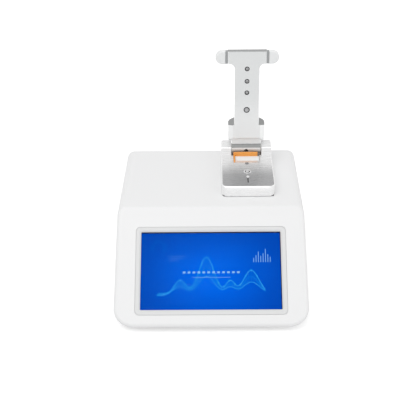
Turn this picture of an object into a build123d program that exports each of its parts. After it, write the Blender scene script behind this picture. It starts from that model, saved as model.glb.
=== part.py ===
from build123d import *
import math
import os

# Millimetres. +Z is up, the screen faces -Y, and z = 0 is the table under the rubber feet.

# Housing: a wedge with a sloping front face
housing_width = 212.0
housing_depth = 236.0
housing_height = 94.1
foot_height = 5.0
front_tilt = 48.1
side_draft = 1.0
wall = 2.8
nose_radius = 4.0
rear_radius = 6.0
low_corner_width = 22.0
low_corner_height = 15.0
top_corner = 9.0

# Base plate, feet and case screws
plate_gap = 0.3
plate_side_margin = 24.0
plate_front_margin = 16.0
plate_rear_margin = 10.0
foot_radius = 8.0
foot_seat = 1.0
foot_inset = 16.0
ledge_size = 14.0
ledge_thickness = 3.5
inner_gap = 1.0
screw_head_radius = 2.8
screw_head_height = 1.8
screw_radius = 1.45
screw_hole_radius = 1.6
screw_length = 7.0
plate_corner = 3.0
rib_length = 80.0
rib_from_front = 52.0
rib_thickness = 3.0
rib_height = 3.0

# Display
screen_width = 154.2
screen_height = 86.8
screen_below_top = 72.5
bezel_margin = 5.6
bezel_flat = 4.0
bezel_corner = 5.0
bezel_thickness = 1.4
bezel_proud = 0.2
bezel_gap = 0.2
glass_margin = 3.2
glass_thickness = 1.1
lcd_thickness = 5.6
bracket_thickness = 1.2
bracket_tab = 8.0
display_boss_radius = 3.6
driver_board_width = 96.0
driver_board_height = 54.0
board_thickness = 1.6

# Measuring plinth and its ears
plinth_x = 43.0
plinth_width = 60.5
plinth_length = 96.0
plinth_rise = 13.3
plinth_front_corner = 7.0
plinth_rear_corner = 3.0
plinth_edge = 0.8
gasket_thickness = 0.6
gasket_step = 0.8
ear_gap = 36.5
ear_depth = 21.1
ear_height = 10.2
ear_edge = 0.8
slot_width = 31.4
slot_depth = 9.5
slot_reach = 29.5
slot_ramp_length = 8.0
slot_ramp_drop = 1.6
stop_bar_gap = 0.4
stop_bar_rise = 6.4
groove_width = 1.6
groove_length = 14.0
groove_depth = 0.9
groove_front = 9.0
groove_eye_radius = 1.9

# Hinge
hinge_behind_front = 85.4
hinge_above_plinth = 5.1
barrel_radius = 5.2
barrel_side_gap = 0.8
barrel_bore_radius = 3.5
barrel_bore_length = 12.0
pin_radius = 2.5
pin_press_gap = 0.02
pin_running_gap = 0.06
pin_recess = 1.2
bush_wall = 1.3
washer_thickness = 0.6
cable_port_radius = 3.0
cable_port_angle = 35.0

# Arm, as it stands open
arm_lean = 3.0
arm_underside = 4.1
arm_thickness = 7.5
neck_width = 29.4
web_underside = 0.8
web_back = 5.0
block_start = 12.2
block_width = 43.5
block_flat_width = 32.6
block_bevel_depth = 4.0
block_back = 7.9
block_roll = 3.0
shoulder_inner = 31.5
shoulder_fall = 3.5
shoulder_rise = 4.7
head_start = 106.7
head_depth = 15.1
head_core_width = 44.6
head_width = 73.0
head_fillet = 5.8
tenon_half_length = 33.0
tenon_depth = 9.0
tenon_thickness = 3.6
tenon_gap = 0.15
grip_gasket_width = 2.6
grip_gasket_step = 0.5
arm_edge = 0.6
channel_width = 9.0
channel_depth = 4.0
arm_guide_level = 1.15
cover_width = 17.0
cover_thickness = 1.2
cover_gap = 0.15
channel_end = 62.0
cover_from = 42.0
cover_to = 110.0
cap_edge = 1.4

# Optical pedestals and what sits in the arm
hinge_to_pedestal = 50.5
pedestal_radius = 3.0
pedestal_tip_radius = 1.7
pedestal_tip_height = 1.2
pedestal_rise = 0.3
pedestal_bush_wall = 1.4
upper_pedestal_radius = 2.4
upper_pedestal_flange = 3.3
upper_pedestal_drop = 0.5
rest_screw_from_hinge = 31.4
rest_screw_radius = 2.3
rest_screw_gap = 0.3
rest_screw_depth = 6.0
magnet_from_hinge = 72.0
magnet_radius = 2.0
arm_screw_from_hinge = (86.0, 101.0)
arm_screw_head_radius = 2.1
counterbore_gap = 0.35
counterbore_depth = 1.6

# Orange cable guard in front of the hinge barrel
guard_length = 29.0
guard_left = 15.5
guard_height = 6.8
guard_thickness = 2.6
guard_top_above_plinth = 3.8
guard_from_hinge = 8.7
guard_leg_width = 1.7
guard_leg_start = 1.5
guard_leg_height = 2.4
guard_leg_proud = 0.3

# Path-length lift under the plinth
mount_plate_thickness = 3.0
mount_plate_side = 6.5
mount_plate_front_inset = 3.8
mount_plate_rear_inset = 5.5
mount_plate_corner = 4.0
plinth_bolt_radius = 1.9
plinth_bolt_hole_radius = 2.1
plinth_bolt_depth = 5.0
plinth_bolt_spacing_x = 46.0
plinth_bolt_front = 18.0
plinth_bolt_rear = 84.0
lift_base_drop = 46.0
lift_base_thickness = 3.0
lift_base_width = 56.0
lift_base_length = 46.0
pillar_radius = 3.0
pillar_inset = 5.0
carriage_drop = 20.0
carriage_thickness = 8.0
carriage_width = 36.0
carriage_length = 36.0
screw_from_pedestal = 20.0
lead_screw_radius = 2.5
lead_screw_top_gap = 0.5
running_gap = 0.05
nut_radius = 5.0
nut_flange_radius = 8.0
nut_flange_thickness = 2.5
guide_rod_radius = 2.0
guide_rod_spacing = 28.0
guide_rod_from_pedestal = 8.0
motor_radius = 14.0
motor_height = 19.0
motor_boss_radius = 5.0
motor_bore_depth = 12.0
pedestal_below_carriage = 6.0

# Spectrometer, lamp and their light guides
spectrometer_width = 60.0
spectrometer_depth = 56.0
spectrometer_height = 34.0
case_gap = 1.0
case_wall = 2.5
lid_thickness = 2.0
detector_board_thickness = 1.6
lamp_width = 54.0
lamp_depth = 34.0
lamp_height = 36.0
lamp_gap = 2.0
lamp_port_inset = 5.0
connector_length = 8.0
connector_radius = 3.2
connector_nut_radius = 4.5
connector_nut_length = 4.0
connector_bore_depth = 4.0
light_guide_radius = 1.0
light_guide_gap = 0.1
light_guide_floor = 22.0
lamp_guide_from_hinge = 16.7

# Circuit boards
main_board_width = 70.0
main_board_depth = 70.0
main_board_from_front = 42.0
standoff_height = 6.0
standoff_radius = 3.0
standoff_inset = 5.0
power_board_width = 36.0
power_board_depth = 46.0
power_board_before_pedestal = 12.0
chip_height = 2.0
io_board_side = 6.0
io_board_depth = 13.0

# Rear panel with its sockets, switch and air slots
panel_width = 150.0
panel_height = 50.0
panel_low = 13.0
panel_thickness = 2.0
panel_sink = 3.0
panel_frame = 6.0
panel_ledge = 5.0
panel_gap = 0.3
panel_corner = 4.0
panel_screw_inset = 5.0
vent_count = 12
vent_pitch = 6.0
vent_width = 2.4
vent_height = 14.0
vent_above_panel_low = 38.0
socket_height = 16.0
usb_a_width = 13.2
usb_a_height = 5.8
usb_a_depth = 14.0
usb_a_positions = (26.0, 44.0)
usb_b_width = 12.0
usb_b_height = 10.8
usb_b_depth = 16.0
usb_b_position = 6.0
socket_wall = 0.6
socket_hole_gap = 0.2
inlet_position = -20.0
inlet_radius = 5.5
inlet_bore_radius = 3.1
inlet_pin_radius = 1.0
inlet_flange_radius = 7.0
inlet_flange_thickness = 1.2
inlet_depth = 13.0
switch_position = -42.0
switch_width = 13.0
switch_height = 19.0
switch_depth = 14.0
switch_flange = 1.6
switch_flange_thickness = 1.6
rocker_width = 9.6
rocker_height = 14.4
rocker_gap = 0.5
rocker_tilt = 7.0
rocker_axle_radius = 1.2

# Places that follow from the sizes above
base_z = foot_height
plate_top_z = base_z + wall
top_z = base_z + housing_height
front_y = -housing_depth / 2
rear_y = housing_depth / 2
tilt = math.radians(front_tilt)
front_normal = Vector(0, -math.cos(tilt), math.sin(tilt))
front_up = Vector(0, math.sin(tilt), math.cos(tilt))
nose_half_angle = math.radians((90 - front_tilt) / 2)
front_corner_y = front_y + nose_radius * (1 - 1 / math.tan(nose_half_angle))
front_edge_y = front_corner_y + housing_height * math.tan(tilt)
screen_centre = Vector(0, front_edge_y, top_z) - front_up * screen_below_top
plinth_bottom_z = top_z + gasket_thickness
plinth_top_z = top_z + plinth_rise
plinth_mid_y = (front_edge_y + rear_y) / 2
plinth_front_y = plinth_mid_y - plinth_length / 2
plinth_rear_y = plinth_mid_y + plinth_length / 2
hinge_y = plinth_front_y + hinge_behind_front
hinge_z = plinth_top_z + hinge_above_plinth
ear_width = (plinth_width - ear_gap) / 2
pedestal_y = hinge_y - hinge_to_pedestal
barrel_half = ear_gap / 2 - barrel_side_gap
stop_bar_y = hinge_y + barrel_radius + stop_bar_gap
arm_back = arm_underside - arm_thickness
head_end = head_start + head_depth
bezel_depth = bezel_thickness - bezel_proud
glass_back = bezel_depth + glass_thickness
lcd_back = glass_back + lcd_thickness
bezel_width = screen_width + 2 * bezel_margin
bezel_height = screen_height + 2 * bezel_margin
glass_width = screen_width + 2 * glass_margin
glass_height = screen_height + 2 * glass_margin
bracket_screw_x = glass_width / 2 + bracket_tab
bracket_screw_v = screen_height / 2 - bracket_tab
mount_plate_z = top_z - wall - mount_plate_thickness
lift_base_z = mount_plate_z - lift_base_drop
lead_screw_y = pedestal_y - screw_from_pedestal
carriage_z = mount_plate_z - carriage_drop - carriage_thickness
guide_rod_y = pedestal_y - guide_rod_from_pedestal
lift_mid_y = (pedestal_y + lead_screw_y) / 2
board_z = plate_top_z + standoff_height
panel_mid_z = panel_low + panel_height / 2
panel_front_y = rear_y - panel_sink - panel_thickness
panel_back_y = rear_y - panel_sink
socket_z = panel_low + socket_height
inner_edge_x = housing_width / 2 - plate_side_margin - ledge_size - inner_gap
case_right_x = spectrometer_width - inner_edge_x
lamp_front_y = panel_back_y - switch_depth - lamp_gap - lamp_depth
lamp_port_y = lamp_front_y + lamp_port_inset
spectrometer_front_y = lamp_front_y - case_gap - spectrometer_depth
spectrometer_mid_y = spectrometer_front_y + spectrometer_depth / 2
lamp_guide_y = hinge_y - lamp_guide_from_hinge
guide_low_z = plate_top_z + light_guide_floor
main_board_x = inner_edge_x - main_board_width / 2
main_board_front_y = front_y + main_board_from_front
power_board_x = inner_edge_x - power_board_width / 2
power_board_front_y = pedestal_y - power_board_before_pedestal

LOW = (Align.CENTER, Align.CENTER, Align.MIN)
HIGH = (Align.CENTER, Align.CENTER, Align.MAX)
ARM = Plane(
    origin=(plinth_x, hinge_y, hinge_z),
    x_dir=(1, 0, 0),
    z_dir=(0, -math.cos(math.radians(arm_lean)), math.sin(math.radians(arm_lean))),
)


def block(x, y, z):
    """A box between two limits along each axis."""
    low = [min(pair) for pair in (x, y, z)]
    size = [abs(pair[1] - pair[0]) for pair in (x, y, z)]
    return Pos(*low) * Box(*size, align=(Align.MIN, Align.MIN, Align.MIN))


def rod_x(radius, length):
    """A cylinder along X, centred."""
    return Rot(0, 90, 0) * Cylinder(radius, length)


def rod_y(radius, y_from, y_to, x, z):
    """A cylinder along Y between two places."""
    return Pos(x, (y_from + y_to) / 2, z) * Rot(90, 0, 0) * Cylinder(radius, abs(y_to - y_from))


def slab(width, height, corner, low, high):
    """A plate with rounded corners, between two heights of its own plane."""
    outline = RectangleRounded(width, height, corner)
    return Pos(0, 0, low) * extrude(outline, high - low)


def screw(head_radius, head_height, radius, length):
    """A cap screw: its head stands on z = 0 and its shank hangs below."""
    head = Cylinder(head_radius, head_height, align=LOW)
    return head + Cylinder(radius, length, align=HIGH)


def face_plane(depth=0.0):
    """The screen's plane, at a depth behind the front face."""
    origin = screen_centre - front_normal * depth
    return Plane(origin=origin, x_dir=(1, 0, 0), z_dir=front_normal)


def soft_corner(before, corner, after, reach_before, reach_after):
    """A quarter ellipse that meets both sides of a corner smoothly."""
    corner = Vector(*corner)
    start = corner + (Vector(*before) - corner).normalized() * reach_before
    end = corner + (Vector(*after) - corner).normalized() * reach_after
    pull = 4 / 3 * (math.sqrt(2) - 1)
    bend = Bezier(start, start + (corner - start) * pull, end + (corner - end) * pull, end)
    return start, end, bend


def housing_form(inset):
    """The wedge as a solid, with every wall moved in by an inset."""
    slope = math.radians(side_draft)
    widest_z = base_z + low_corner_height

    def half(z):
        return housing_width / 2 - (z - widest_z) * math.tan(slope) - inset / math.cos(slope)

    low_z = base_z + inset
    high_z = top_z - inset
    corners = [(-half(low_z), low_z), (half(low_z), low_z), (half(high_z), high_z), (-half(high_z), high_z)]
    low = (low_corner_width - inset, low_corner_height - inset)
    high = (top_corner - inset, top_corner - inset)
    reaches = [low[::-1], low, high, high]
    bends = []
    for index, corner in enumerate(corners):
        before = corners[index - 1]
        after = corners[(index + 1) % 4]
        bends.append(soft_corner(before, corner, after, *reaches[index]))
    outline = Curve() + [bend[2] for bend in bends]
    for index, bend in enumerate(bends):
        outline += Line(bend[1], bends[(index + 1) % 4][0])
    section = make_face(outline)
    rear = Plane(origin=(0, rear_y - inset, 0), x_dir=(1, 0, 0), z_dir=(0, -1, 0))
    form = extrude(rear * section, housing_depth + housing_height)
    front = Plane(
        origin=Vector(0, front_corner_y, base_z) - front_normal * inset,
        x_dir=(1, 0, 0),
        z_dir=front_normal,
    )
    form = split(form, bisect_by=front, keep=Keep.BOTTOM)
    sloped = [f for f in form.faces() if f.normal_at().dot(front_normal) > 0.999]
    form = fillet(sloped[0].edges(), nose_radius - inset)
    back = [f for f in form.faces() if f.normal_at().Y > 0.999]
    return fillet(back[0].edges(), rear_radius - inset)


def base_outline(gap):
    """The opening in the housing's underside, or the plate that closes it."""
    half_x = housing_width / 2 - plate_side_margin - gap
    y0 = front_y + plate_front_margin + gap
    y1 = rear_y - plate_rear_margin - gap
    return (-half_x, half_x), (y0, y1)


def ledge_places():
    """Where the case screws go, along both long sides of the base plate."""
    (x0, x1), (y0, y1) = base_outline(0)
    inner = ledge_size / 2 - plate_gap
    rows = (y0 + 2 * ledge_size, (y0 + y1) / 2 - ledge_size, y1 - 2 * ledge_size)
    return [(x, y) for x in (x0 + inner, x1 - inner) for y in rows]


def foot_places():
    """The four feet, set in from the corners of the base plate."""
    (x0, x1), (y0, y1) = base_outline(0)
    return [(x, y) for x in (x0 + foot_inset, x1 - foot_inset) for y in (y0 + foot_inset, y1 - foot_inset)]


def bracket_places():
    """The four screws that hold the screen's bracket, on the screen's plane."""
    return [(x, v) for x in (-bracket_screw_x, bracket_screw_x) for v in (-bracket_screw_v, bracket_screw_v)]


def panel_screw_places():
    """The rear panel's corner screws, as x and z."""
    half_x = panel_width / 2 - panel_screw_inset
    half_z = panel_height / 2 - panel_screw_inset
    return [(x, panel_mid_z + z) for x in (-half_x, half_x) for z in (-half_z, half_z)]


def plinth_bolt_places():
    """The four bolts that pull the plinth down on the housing."""
    half = plinth_bolt_spacing_x / 2
    rows = (plinth_front_y + plinth_bolt_front, plinth_front_y + plinth_bolt_rear)
    return [(plinth_x + x, y) for x in (-half, half) for y in rows]


def pillar_places():
    """The corners of the lift's lower plate."""
    half_x = lift_base_width / 2 - pillar_inset
    half_y = lift_base_length / 2 - pillar_inset
    return [(plinth_x + x, lift_mid_y + y) for x in (-half_x, half_x) for y in (-half_y, half_y)]


def well_outline():
    """The opening in the housing's top that the pedestal and light guide pass."""
    half = slot_width / 2
    y0 = pedestal_y - pedestal_radius - pedestal_bush_wall - 3
    y1 = lamp_guide_y + 6
    return (plinth_x - half, plinth_x + half), (y0, y1)


def top_shell():
    """Moulded housing: one wall all round, open below, with openings for screen, well and panel."""
    outer = housing_form(0)
    shell = outer - housing_form(wall)
    x_span, y_span = base_outline(0)
    shell -= block(x_span, y_span, (base_z - 1, plate_top_z))
    frame = block(
        (-panel_width / 2 - panel_frame, panel_width / 2 + panel_frame),
        (panel_front_y - 2.5, rear_y),
        (panel_low - panel_frame, panel_low + panel_height + panel_frame),
    )
    additions = frame & outer
    for x, y in ledge_places():
        side = 1 if x > 0 else -1
        reach = (x - side * ledge_size / 2, side * (x_span[1] + 6))
        z_span = (plate_top_z, plate_top_z + ledge_thickness)
        additions += block(reach, (y - ledge_size / 2, y + ledge_size / 2), z_span)
    for x, v in bracket_places():
        boss = Pos(x, v, -lcd_back) * Cylinder(display_boss_radius, lcd_back - wall / 2, align=LOW)
        additions += face_plane() * boss
    shell += additions
    shell -= block(
        (-panel_width / 2 - panel_gap, panel_width / 2 + panel_gap),
        (panel_front_y, rear_y + 1),
        (panel_low - panel_gap, panel_low + panel_height + panel_gap),
    )
    shell -= block(
        (-panel_width / 2 + panel_ledge, panel_width / 2 - panel_ledge),
        (panel_front_y - 10, rear_y),
        (panel_low + panel_ledge, panel_low + panel_height - panel_ledge),
    )
    for x, z in panel_screw_places():
        shell -= rod_y(screw_hole_radius, panel_front_y - 2, panel_front_y, x, z)
    for x, y in ledge_places():
        shell -= Pos(x, y, plate_top_z) * Cylinder(screw_hole_radius, ledge_thickness, align=LOW)
    for x, v in bracket_places():
        hole = Pos(x, v, -lcd_back) * Cylinder(screw_hole_radius, lcd_back - wall, align=LOW)
        shell -= face_plane() * hole
    seat = slab(
        bezel_width + 2 * bezel_gap,
        bezel_height + 2 * bezel_gap,
        bezel_corner,
        -bezel_depth,
        bezel_proud + 5,
    )
    hole = slab(
        glass_width + 2 * bezel_gap,
        glass_height + 2 * bezel_gap,
        bezel_corner - bezel_margin + glass_margin,
        -wall - 2,
        0,
    )
    shell -= face_plane() * (seat + hole)
    well = well_outline()
    shell -= block(*well, (top_z - wall - 1, top_z + 1))
    for x, y in plinth_bolt_places():
        shell -= Pos(x, y, top_z - wall - 1) * Cylinder(plinth_bolt_hole_radius, wall + 2, align=LOW)
    return shell


def base_plate():
    """Plate that closes the underside, with seats for feet and screws."""
    x_span, y_span = base_outline(plate_gap)
    plate = block(x_span, y_span, (base_z, plate_top_z))
    plate = fillet(plate.edges().filter_by(Axis.Z), plate_corner)
    for x, y in ledge_places():
        plate -= Pos(x, y, base_z) * Cylinder(screw_hole_radius, wall, align=LOW)
        plate -= Pos(x, y, base_z) * Cylinder(screw_head_radius + 0.3, screw_head_height, align=LOW)
    for x, y in foot_places():
        plate -= Pos(x, y, base_z) * Cylinder(foot_radius + 0.2, foot_seat, align=LOW)
    rib_y = front_y + rib_from_front
    rib_z = (plate_top_z, plate_top_z + rib_height)
    return plate + block((-rib_length / 2, rib_length / 2), (rib_y, rib_y + rib_thickness), rib_z)


def rubber_feet():
    """Four tapered feet, pressed into their seats."""
    height = foot_height + foot_seat
    profile = Polyline(
        (0, 0), (foot_radius - 1.5, 0), (foot_radius, 1.5), (foot_radius, height), (0, height), close=True
    )
    foot = revolve(Plane.XZ * make_face(profile), Axis.Z)
    return Compound(children=[Pos(x, y, 0) * foot for x, y in foot_places()])


def case_screws():
    """Six screws up through the base plate into the housing's ledges."""
    one = Rot(180, 0, 0) * screw(screw_head_radius, screw_head_height, screw_radius, screw_length - 2)
    z = base_z + screw_head_height
    return Compound(children=[Pos(x, y, z) * one for x, y in ledge_places()])


def display_bezel():
    """Frame round the screen: a flat rim and a sloping inner lip."""
    inner = RectangleRounded(screen_width, screen_height, 1.0)
    lip_width = bezel_width - 2 * bezel_flat
    lip_height = bezel_height - 2 * bezel_flat
    lip = RectangleRounded(lip_width, lip_height, bezel_corner - bezel_flat + 1)
    body = slab(bezel_width, bezel_height, bezel_corner, -bezel_depth, bezel_proud)
    rim_edges = body.faces().sort_by(Axis.Z)[-1].edges()
    body = fillet(rim_edges, 0.5)
    mouth = loft([Pos(0, 0, -bezel_depth + 0.3) * inner, Pos(0, 0, bezel_proud) * lip])
    throat = Pos(0, 0, -bezel_depth - 1) * extrude(inner, 1.3)
    return face_plane() * (body - mouth - throat)


def touch_glass():
    """Cover glass under the bezel's lip."""
    corner = bezel_corner - bezel_margin + glass_margin
    return face_plane() * slab(glass_width, glass_height, corner, -glass_back, -bezel_depth)


def lcd_module():
    """Display module behind the glass."""
    return face_plane() * slab(glass_width - 0.6, glass_height - 0.6, 1.0, -lcd_back, -glass_back)


def display_bracket():
    """Sheet bracket across the back of the display, with four tabs on the housing's bosses."""
    low = -lcd_back - bracket_thickness
    plate = slab(glass_width - 10, glass_height - 10, 3, low, -lcd_back)
    tab_half = display_boss_radius + 1
    for x, v in bracket_places():
        reach = (0, x + math.copysign(tab_half, x))
        plate += block(reach, (v - tab_half, v + tab_half), (low, -lcd_back))
    plate -= slab(driver_board_width - 16, driver_board_height - 16, 3, low - 1, 0)
    for x, v in bracket_places():
        plate -= Pos(x, v, low - 1) * Cylinder(screw_hole_radius, 3, align=LOW)
    for x in (-1, 1):
        for v in (-1, 1):
            place = (x * (driver_board_width / 2 - 4), v * (driver_board_height / 2 - 4), low)
            plate += Pos(*place) * Cylinder(2.5, 4, align=HIGH)
    return face_plane() * plate


def display_screws():
    """Four screws through the bracket into the bosses."""
    one = Rot(180, 0, 0) * screw(screw_head_radius, screw_head_height, screw_radius, screw_length - 2)
    low = -lcd_back - bracket_thickness
    return Compound(children=[face_plane() * (Pos(x, v, low) * one) for x, v in bracket_places()])


def driver_board():
    """Display driver board on the bracket's four posts, with its chips."""
    low = -lcd_back - bracket_thickness - 4 - board_thickness
    board = block(
        (-driver_board_width / 2, driver_board_width / 2),
        (-driver_board_height / 2, driver_board_height / 2),
        (low, low + board_thickness),
    )
    board += block((-20, -2), (-8, 10), (low - chip_height, low))
    board += block((12, 30), (-14, -2), (low - chip_height, low))
    return face_plane() * board


def plinth():
    """Machined base block: two hinge ears, a slot with a ramped lip, and the pedestal's bore."""
    y_span = (plinth_front_y, plinth_rear_y)
    x_span = (plinth_x - plinth_width / 2, plinth_x + plinth_width / 2)
    body = block(x_span, y_span, (plinth_bottom_z, plinth_top_z))
    uprights = body.edges().filter_by(Axis.Z)
    body = fillet(uprights.group_by(Axis.Y)[0], plinth_front_corner)
    body = fillet(body.edges().filter_by(Axis.Z).group_by(Axis.Y)[-1], plinth_rear_corner)
    body = chamfer(body.faces().sort_by(Axis.Z)[-1].edges(), plinth_edge)
    ear_top = plinth_top_z + ear_height
    ear_y = (plinth_rear_y - ear_depth, plinth_rear_y)
    ears = block(x_span, ear_y, (plinth_bottom_z + 2, ear_top))
    ears = fillet(ears.edges().filter_by(Axis.Z).group_by(Axis.Y)[-1], plinth_rear_corner)
    ears = chamfer(ears.faces().sort_by(Axis.Z)[-1].edges(), ear_edge)
    body += ears
    half_gap = ear_gap / 2
    gap_x = (plinth_x - half_gap, plinth_x + half_gap)
    floor_z = plinth_top_z - slot_depth
    body -= block(gap_x, (hinge_y - barrel_radius - 5.8, plinth_rear_y + 1), (floor_z, ear_top + 1))
    body += block(gap_x, (stop_bar_y, plinth_rear_y - plinth_rear_corner / 2), (floor_z, plinth_top_z + stop_bar_rise))
    slot_x = (plinth_x - slot_width / 2, plinth_x + slot_width / 2)
    slot_front = hinge_y - slot_reach
    cut = block(slot_x, (slot_front + slot_ramp_length, hinge_y), (floor_z, plinth_top_z + 1))
    ramp = Polyline(
        (slot_front, plinth_top_z),
        (slot_front + slot_ramp_length, plinth_top_z - slot_ramp_drop),
        (slot_front + slot_ramp_length, plinth_top_z + 1),
        (slot_front, plinth_top_z + 1),
        close=True,
    )
    ramp_cut = extrude(Plane.YZ.offset(slot_x[0]) * make_face(ramp), slot_width, dir=(1, 0, 0))
    body -= cut + ramp_cut
    body -= Pos(plinth_x, hinge_y, hinge_z) * rod_x(pin_radius + pin_running_gap + bush_wall, plinth_width + 2)
    bush_radius = pedestal_radius + running_gap + pedestal_bush_wall
    body -= Pos(plinth_x, pedestal_y, plinth_bottom_z) * Cylinder(bush_radius, plinth_rise, align=LOW)
    rest_y = hinge_y - rest_screw_from_hinge
    body -= Pos(plinth_x, rest_y, plinth_top_z) * Cylinder(rest_screw_radius, rest_screw_depth, align=HIGH)
    groove_y = (plinth_front_y + groove_front, plinth_front_y + groove_front + groove_length)
    groove_x = (plinth_x - groove_width / 2, plinth_x + groove_width / 2)
    body -= block(groove_x, groove_y, (plinth_top_z - groove_depth, plinth_top_z + 1))
    body -= Pos(plinth_x, groove_y[1], plinth_top_z) * Cylinder(groove_eye_radius, groove_depth, align=HIGH)
    guide_hole = light_guide_radius + 1.25
    body -= Pos(plinth_x, lamp_guide_y, plinth_bottom_z) * Cylinder(guide_hole, plinth_rise, align=LOW)
    for x, y in plinth_bolt_places():
        body -= Pos(x, y, plinth_bottom_z) * Cylinder(plinth_bolt_hole_radius, plinth_bolt_depth + 1, align=LOW)
    return body


def plinth_gasket():
    """Thin dark seal between plinth and housing."""
    width = plinth_width - 2 * gasket_step
    length = plinth_length - 2 * gasket_step
    seal = Pos(plinth_x, plinth_mid_y, 0) * slab(width, length, plinth_rear_corner, top_z, plinth_bottom_z)
    seal -= block(*well_outline(), (top_z - 1, plinth_bottom_z + 1))
    for x, y in plinth_bolt_places():
        seal -= Pos(x, y, top_z - 1) * Cylinder(plinth_bolt_hole_radius, 3, align=LOW)
    return seal


def plinth_bolts():
    """Four bolts up through the mount plate and the housing into the plinth."""
    length = mount_plate_thickness + wall + gasket_thickness + plinth_bolt_depth
    one = Rot(180, 0, 0) * screw(3.5, 2.4, plinth_bolt_radius, length)
    return Compound(children=[Pos(x, y, mount_plate_z) * one for x, y in plinth_bolt_places()])


def mount_plate():
    """Steel plate under the housing's top that carries plinth and lift."""
    half_x = plinth_bolt_spacing_x / 2 + mount_plate_side
    x_span = (plinth_x - half_x, plinth_x + half_x)
    y_span = (plinth_front_y + mount_plate_front_inset, plinth_rear_y - mount_plate_rear_inset)
    plate = block(x_span, y_span, (mount_plate_z, mount_plate_z + mount_plate_thickness))
    plate = fillet(plate.edges().filter_by(Axis.Z), mount_plate_corner)
    plate -= block(
        (plinth_x - pedestal_radius - 4, plinth_x + pedestal_radius + 4),
        (pedestal_y - pedestal_radius - 4, lamp_guide_y + 5),
        (mount_plate_z - 1, top_z),
    )
    for x, y in plinth_bolt_places():
        plate -= Pos(x, y, mount_plate_z - 1) * Cylinder(plinth_bolt_hole_radius, 6, align=LOW)
    return plate


def pedestal_bush():
    """Bush in the plinth that guides the lower pedestal, with a bright rim."""
    outer = pedestal_radius + running_gap + pedestal_bush_wall
    bush = Cylinder(outer, plinth_rise - gasket_thickness, align=LOW)
    bush = chamfer(bush.faces().sort_by(Axis.Z)[-1].edges(), 0.4)
    bush -= Cylinder(pedestal_radius + running_gap, plinth_rise, align=LOW)
    return Pos(plinth_x, pedestal_y, plinth_bottom_z) * bush


def rest_screw():
    """Slotted stop screw in the plinth that the closed arm comes down on."""
    top = hinge_above_plinth - arm_underside - rest_screw_gap
    body = Cylinder(rest_screw_radius, rest_screw_depth, align=HIGH)
    body += Cylinder(rest_screw_radius - 0.3, top, align=LOW)
    body -= Pos(0, 0, top) * Box(0.9, 2 * rest_screw_radius, 1.2)
    return Pos(plinth_x, hinge_y - rest_screw_from_hinge, plinth_top_z) * body


def cable_guard():
    """Orange guard: a bar in front of the barrel and a thin leg down the slot's left side."""
    x0 = plinth_x - guard_left
    y1 = hinge_y - guard_from_hinge
    y0 = y1 - guard_thickness
    z1 = plinth_top_z + guard_top_above_plinth
    z0 = z1 - guard_height
    bar = block((x0, x0 + guard_length), (y0, y1), (z0, z1))
    bar = fillet(bar.edges().filter_by(Axis.X), 0.8)
    foot = block((x0 + 3, x0 + guard_length - 3), (y0 + 0.4, y1 - 0.4), (plinth_top_z - slot_depth, z0 + 1))
    slot_front = hinge_y - slot_reach
    ramp_end = slot_front + slot_ramp_length
    start = slot_front + guard_leg_start
    low = plinth_top_z - guard_leg_height
    slope = slot_ramp_drop / slot_ramp_length
    profile = Polyline(
        (start, plinth_top_z + guard_leg_proud),
        (y0 + 1, plinth_top_z + guard_leg_proud),
        (y0 + 1, low),
        (ramp_end + 0.2, low),
        (ramp_end + 0.2, plinth_top_z - slot_ramp_drop + 0.05),
        (start, plinth_top_z - slope * guard_leg_start + 0.05),
        close=True,
    )
    leg = extrude(Plane.YZ.offset(x0) * make_face(profile), guard_leg_width, dir=(1, 0, 0))
    return bar + foot + leg


def hinge_bushes():
    """Plain bushes pressed into the two ears."""
    bore = pin_radius + pin_running_gap
    one = rod_x(bore + bush_wall, ear_width) - rod_x(bore, ear_width + 1)
    shift = ear_gap / 2 + ear_width / 2
    return Compound(children=[Pos(plinth_x + side * shift, hinge_y, hinge_z) * one for side in (-1, 1)])


def hinge_pins():
    """Two stub pins: they leave the middle of the barrel free for the light guide."""
    outer = ear_gap / 2 + ear_width - pin_recess
    inner = barrel_bore_length / 2 + 1
    one = rod_x(pin_radius, outer - inner)
    shift = (outer + inner) / 2
    return Compound(children=[ARM * (Pos(side * shift, 0, 0) * one) for side in (-1, 1)])


def hinge_washers():
    """Thin washers that keep the barrel off the ears."""
    one = rod_x(barrel_radius - 0.4, washer_thickness) - rod_x(pin_radius + pin_press_gap, 2)
    shift = barrel_half + washer_thickness / 2
    return Compound(children=[ARM * (Pos(side * shift, 0, 0) * one) for side in (-1, 1)])


def arm_plan():
    """Outline of neck and head as seen from the underside."""
    neck = Pos(0, (block_start + head_end) / 2) * Rectangle(neck_width, head_end - block_start)
    head = Pos(0, (head_start + head_end) / 2) * Rectangle(head_core_width, head_depth)
    plan = neck + head
    inner = [
        v for v in plan.vertices() if abs(v.Y - head_start) < 0.01 and abs(abs(v.X) - neck_width / 2) < 0.01
    ]
    return fillet(inner, head_fillet)


def arm_block():
    """Bevelled block behind the hinge, with slanted shoulders."""
    half = block_width / 2
    flat = block_flat_width / 2
    section = Polyline(
        (-flat, arm_underside),
        (flat, arm_underside),
        (half, arm_underside - block_bevel_depth),
        (half, -block_back + 2),
        (half - 2, -block_back),
        (-half + 2, -block_back),
        (-half, -block_back + 2),
        (-half, arm_underside - block_bevel_depth),
        close=True,
    )
    length = shoulder_inner + shoulder_rise - block_start
    across = Plane(origin=(0, block_start, 0), x_dir=(1, 0, 0), z_dir=(0, -1, 0))
    body = extrude(across * make_face(section), length, dir=(0, 1, 0))
    depth = arm_underside + block_back
    run = block_width / 2 - neck_width / 2
    for side in (-1, 1):
        along = Vector(side * run, -shoulder_fall, 0)
        back = Vector(0, shoulder_rise, -depth)
        normal = along.cross(back) * side
        cut = Plane(origin=(side * neck_width / 2, shoulder_inner, arm_underside), z_dir=normal)
        body = split(body, bisect_by=cut, keep=Keep.BOTTOM)
    return body


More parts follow.
